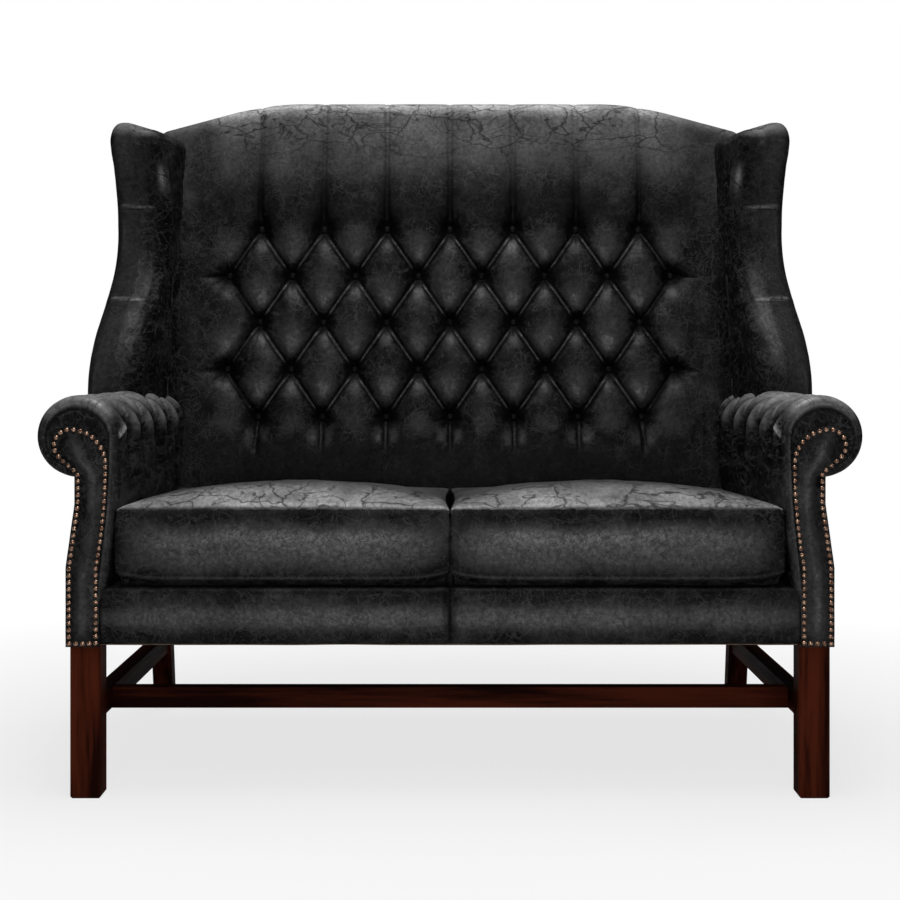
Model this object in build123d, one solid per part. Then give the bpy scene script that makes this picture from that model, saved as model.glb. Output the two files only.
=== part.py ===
from build123d import *
import os
from math import cos, hypot, radians, sin, sqrt, tan

# Two-seat wing sofa with a buttoned back, rolled arms and a stretchered base, in millimetres.
# It is built with y = 0 on the front of the arm facings, x = 0 on the middle and z = 0 on the floor,
# then moved so that the origin lies on the floor under the middle of the overall box.

# Seat
seat_width = 1046.0            # between the arm faces at the front
leg_height = 242.0             # floor to the underside of the seat rails
rail_height = 80.0
rail_thickness = 28.0
frame_depth = 665.0            # front plane to the back of the rear legs, at the rails
toe_in = 14.0                  # each side draws in by this much over the frame's depth
cushion_side = 119.0           # seam to seam on the cushion's front
cushion_crown = 27.0           # rise of the middle above the front seam
cushion_front_crown = 7.0      # rise along the front and back seams
cushion_draw = 6.0             # how far the sides pull in between the corners
cushion_front_y = 4.0
cushion_back_gap = 4.0         # between a cushion and the back
cushion_gap = 2.0              # between the two cushions
cushion_cover = 12.0           # leather with its wadding
cushion_sections = 5           # profiles from front to back

# Arms
arm_height = 634.5             # top of the roll
roll_radius = 63.5
arm_foot_spread = 20.0         # the inside face leans out by this much down to the rails
neck_out = 67.0                # seat face to the outside face, just under the roll
stem_flare = 14.0              # the outside face stands this much further out at the foot
stem_flare_top = 465.0
stem_flare_bottom = 365.0
arm_cover = 16.0               # leather with its wadding
outside_panel = 4.0
arm_pleat_pitch = 115.0
arm_pleat_first = 105.0
arm_pleat_count = 4
arm_pleat_depth = 7.0
arm_pleat_half_width = 9.0
arm_button_radius = 8.0

# Arm facings and their nails
facing_thickness = 8.0
facing_drop = 2.0              # the facing laps over the leg by this much
facing_foot_width = 53.0
scroll_radius = 25.0           # nail line round the scroll's eye
scroll_sweep = 55.5            # nail line over the scroll's inner curve
scroll_drop = 53.0             # arm top down to the nail line's top
scroll_eye_in = 53.0           # arm's outermost point in to the scroll's eye
scroll_turn = 50.0             # degrees past level that the eye's curve runs on
nail_edge = 5.5                # nail line to the facing's edge
nail_pitch = 10.6
nail_head_radius = 4.0
nail_head_height = 2.3
nail_shank_radius = 1.0
nail_length = 13.0

# Arm frame
stump_thickness = 23.0
arm_rail_width = 52.0
arm_rail_height = 22.0
arm_rail_drop = 50.0           # arm top down to the rail's underside
stuffing_rail_side = 26.0
stuffing_rail_lift = 24.0      # above the seat rail

# Base
leg_side = 48.0
rear_leg_width = 38.0
rear_leg_depth = 44.0
rear_leg_rake = 50.0           # the rear foot stands this far behind its top
rear_foot_depth = 38.0
stretcher_height = 34.0
stretcher_width = 28.0
stretcher_floor = 115.0        # floor to the stretchers' underside
cross_stretcher_y = 140.0
tenon_width = 12.0
tenon_height = 22.0
tenon_length = 18.0
leg_edge = 2.0                 # flat along each long edge of a leg
foot_chamfer = 3.0

# Seat frame fittings
block_leg = 75.0               # corner block's reach along each rail
block_height = 46.0
block_margin = 17.0            # block's underside above the rail's underside
screw_radius = 2.5
screw_head_radius = 5.0
screw_head_height = 3.0
screw_length = 46.0
screw_rail_offset = 24.0
spring_wire = 3.6
spring_count = 10
spring_pitch = 104.0
spring_rung = 44.0
spring_step = 22.0
spring_inset = 12.0            # first rung behind the front rail's face
clip_width = 26.0
clip_depth = 11.0
clip_height = 5.4
deck_thickness = 7.0
deck_side_gap = 3.0
border_bulge = 6.0
border_lip = 6.0
dust_cover_thickness = 1.5

# Back
back_rake = 9.5                # degrees from upright
back_board = 28.0
back_height = 1200.0           # floor to the top of the crest
crest_flat = 290.0             # half the level stretch of the crest
crest_round = 430.0            # where the crest's curve ends in a straight slope
crest_round_drop = 19.0
crest_end = 588.0
crest_end_drop = 63.0
crest_pad = 26.0               # padding over the crest rail
crest_front_round = 40.0
crest_rear_round = 18.0
webbing_thickness = 2.0
webbing_width = 50.0
webbing_count = 6
webbing_first = 170.0          # the straps pass over and under the arm rails
webbing_pitch = 125.0
back_foam = 60.0
tuft_base = 18.0               # quilted cover behind the bottoms of its folds
tuft_rise = 28.0               # crown of each tuft above the folds
pleat_lift = 7.0               # the straight pleats' folds lie this much nearer the front
pleat_drop = 3.0               # and their crowns this much further back
tuft_pitch = 124.0
tuft_row_pitch = 93.0
tuft_rows = 5
tuft_columns = 7
tuft_first_row = 328.0         # lowest row, up the slope from the rails' underside
dimple_bottom = 10.0
dimple_mouth = 33.0
dimple_depth = 10.0            # below the folds
button_radius = 9.0
button_height = 5.0
post_width = 44.0
top_rail_height = 70.0
mid_rail_height = 60.0
mid_rail_at = 470.0
bottom_rail_height = 50.0
bottom_rail_at = 110.0
slat_width = 45.0
slat_at = 190.0
outside_back_drop = 12.0

# Wings
wing_top = 1141.0
wing_back_x = 612.0            # outside face at the back
wing_thickness = 93.0
wing_splay = 7.0               # degrees
wing_foot_y = 362.0            # front edge at the arm, behind the front plane
wing_waist_y = 530.0
wing_ear_y = 487.0
wing_sweep = ((0.22, 0.18), (0.58, 0.31), (0.93, 0.46), (1.0, 0.65))  # shares back to the waist, and up
wing_lean = (0.5, 0.81)        # shares of the way out to the ear, up to the top
wing_ear_fall = 0.085          # ear under the top, a share of the rise
wing_top_back = 0.2            # start of the top behind the waist, a share of the ear's reach
wing_pivot_y = 700.0
wing_round = 22.0
wing_cover = 14.0
wing_front_cover = 34.0
wing_board = 18.0
wing_board_inset = 52.0

# Fits
fit = 0.4                      # between soft pieces that lie against each other
joint_clearance = 0.2          # round a tenon in its mortise

# Worked out from the sizes above
seat_half = seat_width / 2
rail_top = leg_height + rail_height
roll_x = seat_half + roll_radius
roll_z = arm_height - roll_radius
neck_x = seat_half + neck_out
stem_x = neck_x + stem_flare
arm_outer = seat_half + 2 * roll_radius
deck_bottom = rail_top + clip_height + fit
deck_top = deck_bottom + deck_thickness
cushion_bottom = deck_top + fit
cushion_edge = cushion_bottom + cushion_side
back_frame_y = frame_depth - back_board
rear_leg_y = frame_depth - rear_leg_depth
front_rail_y = facing_thickness + border_bulge
leg_back_y = facing_thickness + leg_side
slope = radians(back_rake)
back_plane = Plane(
    origin=(0, back_frame_y, leg_height), x_dir=(1, 0, 0), z_dir=(0, -cos(slope), sin(slope))
)
side_w = webbing_thickness + fit            # where arms and wings end against the back
fold_w = webbing_thickness + back_foam + tuft_base
crown_w = fold_w + tuft_rise
crest_w = crown_w - crest_front_round       # where the rounded crest is highest
crest_v = (back_height - leg_height - crest_w * sin(slope)) / cos(slope)
back_foot = (deck_top + fit - leg_height) / cos(slope)
tuft_top_row = tuft_first_row + (tuft_rows - 1) * tuft_row_pitch
FAR = 3000.0                                # past any part of the sofa
UPWARDS = (Align.CENTER, Align.CENTER, Align.MIN)


def toe(y):
    """How far a side has drawn in at a depth."""
    return toe_in * y / frame_depth


def block(x0, x1, y0, y1, z0, z1):
    """Box from one corner to the other."""
    middle = Pos((x0 + x1) / 2, (y0 + y1) / 2, (z0 + z1) / 2)
    return middle * Box(abs(x1 - x0), abs(y1 - y0), abs(z1 - z0))


def line(a, b):
    return Edge.make_line(a, b)


def arc(a, b, c):
    return Edge.make_three_point_arc(a, b, c)


def prism(edges, along):
    """Solid swept straight from a closed outline."""
    return Solid.extrude(Face(Wire(edges)), Vector(*along))


def polygon(points):
    return [line(a, b) for a, b in zip(points, points[1:] + points[:1])]


def at(points, y):
    """Outline points (x, z) placed at a depth, drawn in with the side."""
    return [(x - toe(y), y, z) for x, z in points]


def along_side(y0, y1):
    return (toe(y0) - toe(y1), y1 - y0, 0)


def mirrored(part):
    return mirror(part, about=Plane.YZ)


def group(parts):
    return Compound(children=list(parts))


def behind_back(w):
    """Everything behind a plane laid w in front of the back frame."""
    return back_plane * block(-FAR, FAR, -FAR, FAR, w - FAR, w)


def y_of(v, w=0.0):
    """Depth of a point of the back, v up its slope and w in front of its frame."""
    return back_frame_y + v * sin(slope) - w * cos(slope)


# Base: legs, stretchers and their tenons


def front_leg_blank():
    outer = stem_x - outside_panel - toe(leg_back_y) - fit
    leg = block(outer - leg_side, outer, facing_thickness, leg_back_y, 0, rail_top)
    leg = chamfer(leg.edges().filter_by(Axis.Z), leg_edge)
    return chamfer(leg.faces().sort_by(Axis.Z)[0].edges(), foot_chamfer), outer


def rear_leg_blank():
    outer = stem_x - outside_panel - toe(frame_depth) - fit
    foot_y = frame_depth + rear_leg_rake
    profile = [
        (rear_leg_y, rail_top),
        (frame_depth, rail_top),
        (frame_depth, leg_height),
        (foot_y, 0),
        (foot_y - rear_foot_depth, 0),
        (rear_leg_y, leg_height),
    ]
    points = [(outer - rear_leg_width, y, z) for y, z in profile]
    leg = prism(polygon(points), (rear_leg_width, 0, 0))
    raked = [e for e in leg.edges() if abs(e.bounding_box().size.Z - leg_height) < fit]
    return leg.chamfer(leg_edge, None, raked), outer


def tenon(x, y, z, along_x, grow=0.0):
    """Tenon of a stretcher or rail, centred where its shoulder meets the other piece."""
    long_half = tenon_length + grow
    wide_half = tenon_width / 2 + grow
    high_half = tenon_height / 2 + grow
    x_half, y_half = (long_half, wide_half) if along_x else (wide_half, long_half)
    return block(x - x_half, x + x_half, y - y_half, y + y_half, z - high_half, z + high_half)


def base():
    """Right-hand legs and side stretcher, and the cross stretcher."""
    front, front_outer = front_leg_blank()
    rear, rear_outer = rear_leg_blank()
    front_x = front_outer - leg_side / 2
    rear_x = rear_outer - rear_leg_width / 2
    mid_z = stretcher_floor + stretcher_height / 2
    front_rake = rear_leg_rake + rear_leg_depth - rear_foot_depth
    rear_face_y = rear_leg_y + front_rake * (1 - mid_z / leg_height)

    half = stretcher_width / 2
    reach = rear_face_y + stretcher_height - leg_back_y
    drift = (rear_x - front_x) / (rear_face_y - leg_back_y)
    section = [
        (front_x - half, leg_back_y, stretcher_floor),
        (front_x + half, leg_back_y, stretcher_floor),
        (front_x + half, leg_back_y, stretcher_floor + stretcher_height),
        (front_x - half, leg_back_y, stretcher_floor + stretcher_height),
    ]
    side = prism(polygon(section), (drift * reach, reach, 0)) - rear
    side = side.solids().sort_by(SortBy.VOLUME)[-1]
    cross_x = front_x - half + drift * (cross_stretcher_y - leg_back_y)

    def tenon_pair(grow):
        ends = tenon(front_x, leg_back_y, mid_z, False, grow)
        return ends, tenon(rear_x, rear_face_y + half, mid_z, False, grow)

    front_tenon, rear_tenon = tenon_pair(0)
    side = side + (front_tenon - block(-FAR, FAR, leg_back_y, FAR, 0, FAR))
    side = side + (rear_tenon & rear)
    front_mortise, rear_mortise = tenon_pair(joint_clearance)
    front = front - front_mortise
    rear = rear - rear_mortise

    inner = cross_x - joint_clearance - abs(drift) * stretcher_width
    cross = block(
        -inner, inner, cross_stretcher_y, cross_stretcher_y + stretcher_width,
        stretcher_floor, stretcher_floor + stretcher_height,
    )
    cross_mid = cross_stretcher_y + stretcher_width / 2
    for hand in (1, -1):
        cross = cross + tenon(hand * inner, cross_mid, mid_z, True)
    side = side - tenon(inner, cross_mid, mid_z, True, joint_clearance)
    return front, rear, side, cross, front_outer, rear_outer


# Seat frame: rails, corner blocks, screws, springs, clips, deck and dust cover


def seat_frame(front_outer, rear_outer):
    rail_z = leg_height + rail_height / 2
    front_half = front_outer - leg_side
    rear_half = rear_outer - rear_leg_width
    rear_rail_y = frame_depth - rail_thickness - outside_panel
    front_rail = block(
        -front_half, front_half, front_rail_y, front_rail_y + rail_thickness, leg_height, rail_top
    )
    rear_rail = block(
        -rear_half, rear_half, rear_rail_y, rear_rail_y + rail_thickness, leg_height, rail_top
    )
    for hand in (1, -1):
        front_rail = front_rail + tenon(
            hand * front_half, front_rail_y + rail_thickness / 2, rail_z, True
        )
        rear_rail = rear_rail + tenon(
            hand * rear_half, rear_rail_y + rail_thickness / 2, rail_z, True
        )
    mortises = [
        tenon(front_half, front_rail_y + rail_thickness / 2, rail_z, True, joint_clearance),
        tenon(rear_half, rear_rail_y + rail_thickness / 2, rail_z, True, joint_clearance),
    ]

    rail_outer = stem_x - outside_panel - fit
    side_rail = prism(
        polygon(at(
            [
                (rail_outer - rail_thickness, leg_height),
                (rail_outer, leg_height),
                (rail_outer, rail_top),
                (rail_outer - rail_thickness, rail_top),
            ],
            leg_back_y,
        )),
        along_side(leg_back_y, rear_leg_y),
    )
    return front_rail, rear_rail, side_rail, mortises, front_half, rear_half, rear_rail_y


def wood_screw():
    """Countersunk screw along +z, its head's face at the origin."""
    head = Cone(screw_head_radius, screw_radius, screw_head_height, align=UPWARDS)
    shank = Cylinder(screw_radius, screw_length, align=UPWARDS)
    return (head + shank).solid()


def corner_blocks(front_half, rear_half, rear_rail_y):
    """Braces in the seat frame's corners, and the screws that hold them to the rails."""
    z0 = leg_height + block_margin
    rail_inner = stem_x - outside_panel - fit - rail_thickness
    front_y = front_rail_y + rail_thickness
    side_end = leg_back_y + block_leg
    front = [
        (front_half - block_leg, front_y),
        (front_half - fit, front_y),
        (front_half - fit, leg_back_y + fit),
        (rail_inner - toe(leg_back_y + fit), leg_back_y + fit),
        (rail_inner - toe(side_end), side_end),
    ]
    side_start = rear_leg_y - block_leg
    rear = [
        (rear_half - block_leg, rear_rail_y),
        (rear_half - fit, rear_rail_y),
        (rear_half - fit, rear_leg_y - fit),
        (rail_inner - toe(rear_leg_y - fit), rear_leg_y - fit),
        (rail_inner - toe(side_start), side_start),
    ]
    blocks, screws = [], []
    screw = wood_screw()
    screw_z = z0 + block_height / 2
    for outline, y_way in ((front, -1), (rear, 1)):
        brace = prism(polygon([(x, y, z0) for x, y in outline]), (0, 0, block_height))
        blocks += [brace, mirrored(brace)]
        rail_x, rail_y = outline[0]
        side_x, side_y = outline[-1]
        step = (side_y - rail_y) / (side_x - rail_x)
        to_rail_x = rail_x + screw_rail_offset
        to_rail_y = rail_y + step * screw_rail_offset
        to_side_y = side_y + y_way * screw_rail_offset
        to_side_x = side_x + y_way * screw_rail_offset / step
        turn_y = Location((to_rail_x, to_rail_y, screw_z), (90 * -y_way, 0, 0))
        turn_x = Location((to_side_x, to_side_y, screw_z), (0, 90, 0))
        for place in (turn_y, turn_x):
            one = screw.moved(place)
            screws += [one, mirrored(one)]
    return group(blocks), group(screws)


def seat_springs(rear_rail_y):
    """Zigzag springs from the front rail to the rear rail, and the clips that hold their ends."""
    first = front_rail_y + spring_inset
    last = rear_rail_y + rail_thickness / 2
    rungs = 2 * int((last - first) / spring_step / 2) + 1
    step = (last - first) / (rungs - 1)
    half = spring_rung / 2
    wire_z = rail_top + spring_wire / 2
    edges = []
    for k in range(rungs):
        hand = 1 if k % 2 else -1
        y = first + k * step
        start = (-hand * half, y, wire_z)
        end = (hand * half, y, wire_z)
        edges.append(line(start, end))
        if k < rungs - 1:
            middle = (hand * (half + step / 2), y + step / 2, wire_z)
            edges.append(arc(end, middle, (hand * half, y + step, wire_z)))
    path = Wire(edges)
    section = Plane(origin=path @ 0, z_dir=path % 0) * Circle(spring_wire / 2)
    spring = sweep(section, path).solid()

    def clip(y):
        body = block(
            -clip_width / 2, clip_width / 2, y - clip_depth / 2, y + clip_depth / 2,
            rail_top, rail_top + clip_height,
        )
        gap = spring_wire / 2 + joint_clearance
        tunnel = block(-FAR, FAR, y - gap, y + gap, 0, rail_top + spring_wire + joint_clearance)
        return (body - tunnel).solid()

    places = [(k - (spring_count - 1) / 2) * spring_pitch for k in range(spring_count)]
    springs = [spring.moved(Pos(x, 0, 0)) for x in places]
    clips = [clip(y).moved(Pos(x, 0, 0)) for x in places for y in (first, last)]
    return group(springs), group(clips)


def deck(rear_rail_y):
    """Padded platform over the springs."""
    front = front_rail_y + border_lip
    half = seat_half - deck_side_gap
    outline = [
        (-half, front),
        (half, front),
        (half - toe(rear_rail_y), rear_rail_y),
        (-half + toe(rear_rail_y), rear_rail_y),
    ]
    return prism(polygon([(x, y, deck_bottom) for x, y in outline]), (0, 0, deck_thickness))


def front_border(front_half):
    """Right half of the padded leather band along the front rail; the halves meet at a seam."""
    inner_edge = min(stem_x - facing_foot_width, front_half) - fit
    top = deck_top
    middle = (leg_height + top) / 2
    back_y = front_rail_y
    front_y = back_y - border_lip
    profile = [
        line((fit, back_y, leg_height), (fit, front_y, leg_height)),
        arc((fit, front_y, leg_height), (fit, front_y - border_bulge, middle), (fit, front_y, top)),
        line((fit, front_y, top), (fit, back_y, top)),
        line((fit, back_y, top), (fit, back_y, leg_height)),
    ]
    return prism(profile, (inner_edge - fit, 0, 0))


def dust_cover(front_outer, rear_outer, rear_rail_y):
    """Cloth tacked under the seat rails, notched round the legs."""
    z0 = leg_height - dust_cover_thickness
    end_y = rear_rail_y + rail_thickness
    half = stem_x - outside_panel - fit
    outline = [
        (-half + toe(front_rail_y), front_rail_y),
        (half - toe(front_rail_y), front_rail_y),
        (half - toe(end_y), end_y),
        (-half + toe(end_y), end_y),
    ]
    cloth = prism(polygon([(x, y, z0) for x, y in outline]), (0, 0, dust_cover_thickness))
    front_notch = block(front_outer - leg_side - fit, FAR, 0, leg_back_y + fit, 0, leg_height)
    rear_notch = block(rear_outer - rear_leg_width - fit, FAR, rear_leg_y - fit, FAR, 0, leg_height)
    for notch in (front_notch, rear_notch):
        cloth = cloth - notch - mirrored(notch)
    return cloth


# Arms


def roll_point(radius, degrees_up):
    return (roll_x + radius * cos(radians(degrees_up)), roll_z + radius * sin(radians(degrees_up)))


def inside_edges(inset, foot_z, y, neck_inset=0.0):
    """Right arm's inside face and roll, from the foot of the face to the neck under the roll."""
    radius = roll_radius - inset
    foot = (seat_half + arm_foot_spread + inset, foot_z)
    face_top = roll_point(radius, 180)
    middle = (seat_half + arm_foot_spread / 4 + inset, (foot_z + roll_z) / 2)
    neck_offset = neck_x - neck_inset - roll_x
    neck = (neck_x - neck_inset, roll_z - sqrt(radius**2 - neck_offset**2))
    foot, middle, face_top, q2, top, q1, outer, q4, neck = at(
        [
            foot, middle, face_top, roll_point(radius, 135), roll_point(radius, 90),
            roll_point(radius, 45), roll_point(radius, 0), roll_point(radius, -45), neck,
        ],
        y,
    )
    edges = [arc(foot, middle, face_top), arc(face_top, q2, top), arc(top, q1, outer), arc(outer, q4, neck)]
    return edges, foot, neck


def stem_edges(inset, neck_z, foot_z, y):
    """Right arm's outside face, from the neck down to its foot."""
    top_x = neck_x - inset
    low_x = stem_x - inset
    middle_z = (stem_flare_top + stem_flare_bottom) / 2
    middle_x = (top_x + low_x) / 2
    quarter = stem_flare / 8
    neck, upper, bend1, mid, bend2, lower, foot = at(
        [
            (top_x, neck_z),
            (top_x, stem_flare_top),
            (top_x + quarter, (stem_flare_top + middle_z) / 2),
            (middle_x, middle_z),
            (low_x - quarter, (stem_flare_bottom + middle_z) / 2),
            (low_x, stem_flare_bottom),
            (low_x, foot_z),
        ],
        y,
    )
    return [line(neck, upper), arc(upper, bend1, mid), arc(mid, bend2, lower), line(lower, foot)], foot


def whole_arm(inset, stem_inset, y0, y1):
    """Right arm as one solid, inset from its outside."""
    edges, foot, neck = inside_edges(inset, rail_top, y0, stem_inset)
    stem, stem_foot = stem_edges(stem_inset, neck[2], rail_top, y0)
    return prism(edges + stem + [line(stem_foot, foot)], along_side(y0, y1))


def facing_nail_line(foot_z):
    """Closed line of the nails round the right facing, at the front plane."""
    eye_x = arm_outer - scroll_eye_in
    top_z = arm_height - scroll_drop
    eye_z = top_z - scroll_radius
    sweep_z = top_z - scroll_sweep
    turn = radians(-scroll_turn)
    foot_out = stem_x - nail_edge
    foot_in = stem_x - facing_foot_width + nail_edge
    waist_out = neck_x - nail_edge
    eye_end = (eye_x + scroll_radius * cos(turn), eye_z + scroll_radius * sin(turn))
    neck_z = eye_end[1] - (eye_end[0] - waist_out) / tan(radians(scroll_turn))
    half_turn = radians(45 - scroll_turn / 2)
    eye_mid = (eye_x + scroll_radius * cos(half_turn), eye_z + scroll_radius * sin(half_turn))
    sweep_mid = (eye_x - scroll_sweep * sqrt(0.5), sweep_z + scroll_sweep * sqrt(0.5))
    inner = (eye_x - scroll_sweep, sweep_z)
    lower_in = (foot_in, stem_flare_bottom)
    bend = (inner[0] + (foot_in - inner[0]) / 4, (inner[1] + stem_flare_bottom) / 2)
    top = (eye_x, top_z)

    def p(xz):
        return (xz[0], 0, xz[1])

    return Wire([
        line(p((foot_out, foot_z)), p((foot_in, foot_z))),
        line(p((foot_in, foot_z)), p(lower_in)),
        arc(p(lower_in), p(bend), p(inner)),
        arc(p(inner), p(sweep_mid), p(top)),
        arc(p(top), p(eye_mid), p(eye_end)),
        line(p(eye_end), p((waist_out, neck_z))),
        line(p((waist_out, neck_z)), p((waist_out, stem_flare_top))),
        line(p((waist_out, stem_flare_top)), p((foot_out, stem_flare_bottom))),
        line(p((foot_out, stem_flare_bottom)), p((foot_out, foot_z))),
    ])


def facing_panel(nails):
    outline = nails.offset_2d(nail_edge, kind=Kind.INTERSECTION)
    return Solid.extrude(Face(outline), Vector(0, facing_thickness, 0))


def nail():
    """Dome-headed nail along +y, the head's underside at the origin."""
    ball = (nail_head_radius**2 + nail_head_height**2) / (2 * nail_head_height)
    sphere = Pos(0, ball - nail_head_height, 0) * Sphere(ball)
    dome = sphere & block(-FAR, FAR, -nail_head_height, 0, -FAR, FAR)
    shank = Cylinder(nail_shank_radius, nail_length, align=UPWARDS)
    return (dome + Rot(-90, 0, 0) * shank).solid()


def facing_nails(nails):
    count = round(nails.length / nail_pitch)
    one = nail()
    return group(one.moved(Pos(nails.position_at(k / count))) for k in range(count))


def arm_pleat(y):
    """Fold over the roll at a depth: a V-section ring from the inside face to the outside."""
    inner = roll_radius - arm_pleat_depth
    outer = roll_radius + 1
    wide = arm_pleat_half_width
    centre_x = roll_x - toe(y)
    section = [
        (centre_x - inner, y, roll_z),
        (centre_x - outer, y - wide, roll_z),
        (centre_x - outer, y + wide, roll_z),
    ]
    axis = Axis((centre_x, y, roll_z), (0, 1, 0))
    return revolve(Face(Wire(polygon(section))), axis, 180)


def arm_pieces(nails):
    """Right arm: cover, foam, outside panel, stump, two rails and buttons."""
    stump_back = facing_thickness + stump_thickness
    ends = back_frame_y + (arm_height - leg_height) * tan(slope) + roll_radius
    back_cut = behind_back(side_w)
    hidden = arm_cover + fit

    outer, foot, neck = inside_edges(0, rail_top, facing_thickness)
    inner, inner_foot, inner_neck = inside_edges(arm_cover, rail_top, facing_thickness)
    section = outer + [line(neck, inner_neck)] + inner + [line(inner_foot, foot)]
    shell = prism(section, along_side(facing_thickness, ends))
    lip = whole_arm(0, 0, 0, facing_thickness) - facing_panel(nails)
    stem_side = block(neck_x - arm_cover, FAR, -1, FAR, 0, neck[2])
    lip = (lip - stem_side).solids().sort_by(SortBy.VOLUME)[-1]
    depths = [arm_pleat_first + k * arm_pleat_pitch for k in range(arm_pleat_count)]
    cover = shell + lip
    buttons = []
    for y in depths:
        cover = cover - arm_pleat(y)
        seat = seat_half - toe(y)
        seat_cut = Pos(seat, y, roll_z) * Rot(0, 90, 0) * Cylinder(
            arm_button_radius + 2, 2 * arm_pleat_depth
        )
        cover = cover - seat_cut
        button = Pos(seat + arm_pleat_depth - fit, y, roll_z) * Rot(0, -90, 0) * Cone(
            arm_button_radius, arm_button_radius / 2, button_height,
            align=UPWARDS,
        )
        buttons.append(button.solid())
    cover = (cover - back_cut).solids().sort_by(SortBy.VOLUME)[-1]

    stump = whole_arm(hidden, outside_panel + fit, facing_thickness, stump_back)
    rail_half = arm_rail_width / 2
    rail_low = arm_height - arm_rail_drop
    rail_section = at(
        [
            (roll_x - rail_half, rail_low),
            (roll_x + rail_half, rail_low),
            (roll_x + rail_half, rail_low + arm_rail_height),
            (roll_x - rail_half, rail_low + arm_rail_height),
        ],
        stump_back,
    )
    arm_rail = (prism(polygon(rail_section), along_side(stump_back, ends)) - behind_back(0)).solid()
    stuffing_x = seat_half + arm_foot_spread + hidden
    stuffing_z = rail_top + stuffing_rail_lift
    stuffing_section = at(
        [
            (stuffing_x, stuffing_z),
            (stuffing_x + stuffing_rail_side, stuffing_z),
            (stuffing_x + stuffing_rail_side, stuffing_z + stuffing_rail_side),
            (stuffing_x, stuffing_z + stuffing_rail_side),
        ],
        stump_back,
    )
    stuffing = (prism(polygon(stuffing_section), along_side(stump_back, ends)) - behind_back(0)).solid()
    foam = whole_arm(hidden, outside_panel + fit, stump_back, ends)
    foam = foam - back_cut - arm_rail - stuffing
    foam = foam.solids().sort_by(SortBy.VOLUME)[-1]

    face, face_foot = stem_edges(0, neck[2], leg_height, facing_thickness)
    lining, lining_foot = stem_edges(outside_panel, neck[2], leg_height, facing_thickness)
    top_edge = line(face[0] @ 0, lining[0] @ 0)
    outside = prism(
        face + [line(face_foot, lining_foot)] + lining + [top_edge], along_side(facing_thickness, ends)
    )
    outside = (outside - back_cut).solids().sort_by(SortBy.VOLUME)[-1]
    return cover, foam, outside, stump, arm_rail, stuffing, group(buttons)


def arm_space():
    """Room that the right arm takes, with its fit, for cutting what lies against it."""
    ends = back_frame_y + (arm_height - leg_height) * tan(slope) + roll_radius
    return whole_arm(-fit, -fit, -1, ends)


# Back, in its own plane: u across, v up the slope, w towards the front


def crest_edges(lower, half, w):
    """Top edge of the back from right to left, lowered for the padding over the rail."""
    top = crest_v - lower
    end_drop = crest_round_drop + (crest_end_drop - crest_round_drop) * (half - crest_round) / (
        crest_end - crest_round
    )
    middle = (crest_flat + crest_round) / 2
    points = [
        (half, top - end_drop, w),
        (crest_round, top - crest_round_drop, w),
        (middle, top - crest_round_drop / 4, w),
        (crest_flat, top, w),
    ]
    opposite = [(-u, v, depth) for u, v, depth in points]
    edges = [
        line(points[0], points[1]),
        arc(points[1], points[2], points[3]),
        line(points[3], opposite[3]),
        arc(opposite[3], opposite[2], opposite[1]),
        line(opposite[1], opposite[0]),
    ]
    return edges, points[0], opposite[0]


def back_slab(lower, half, foot, w0, w1):
    """Slab of the back between two depths, with the crest's curve for its top."""
    edges, right, left = crest_edges(lower, half, w0)
    right_foot = (half, foot, w0)
    left_foot = (-half, foot, w0)
    outline = edges + [line(left, left_foot), line(left_foot, right_foot), line(right_foot, right)]
    return prism(outline, (0, 0, w1 - w0))


def scallops(along, pitch, first, fold, crown):
    """Row of rounded ridges that run along a direction, with a fold through (0, first)."""
    size = hypot(*along)
    direction = (along[0] / size, along[1] / size, 0)
    across = (-direction[1], direction[0], 0)
    plane = Plane(origin=(0, first, 0), x_dir=across, z_dir=direction)
    count = int(FAR / 2 / pitch)
    edges = []
    for k in range(-count, count):
        low = (k * pitch, fold)
        high = ((k + 0.5) * pitch, crown)
        edges.append(arc(low, high, ((k + 1) * pitch, fold)))
    end = count * pitch
    corners = [(end, fold), (end, -FAR), (-end, -FAR), (-end, fold)]
    edges += [line(a, b) for a, b in zip(corners, corners[1:])]
    face = plane * Face(Wire(edges))
    return extrude(face, FAR / 2, both=True)


def button_places():
    """Buttons of the back as (u, v): rows of seven and, between them, rows of eight."""
    places = []
    for row in range(tuft_rows):
        count = tuft_columns + row % 2
        for k in range(count):
            places.append(((k - (count - 1) / 2) * tuft_pitch, tuft_first_row + row * tuft_row_pitch))
    return places


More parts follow.
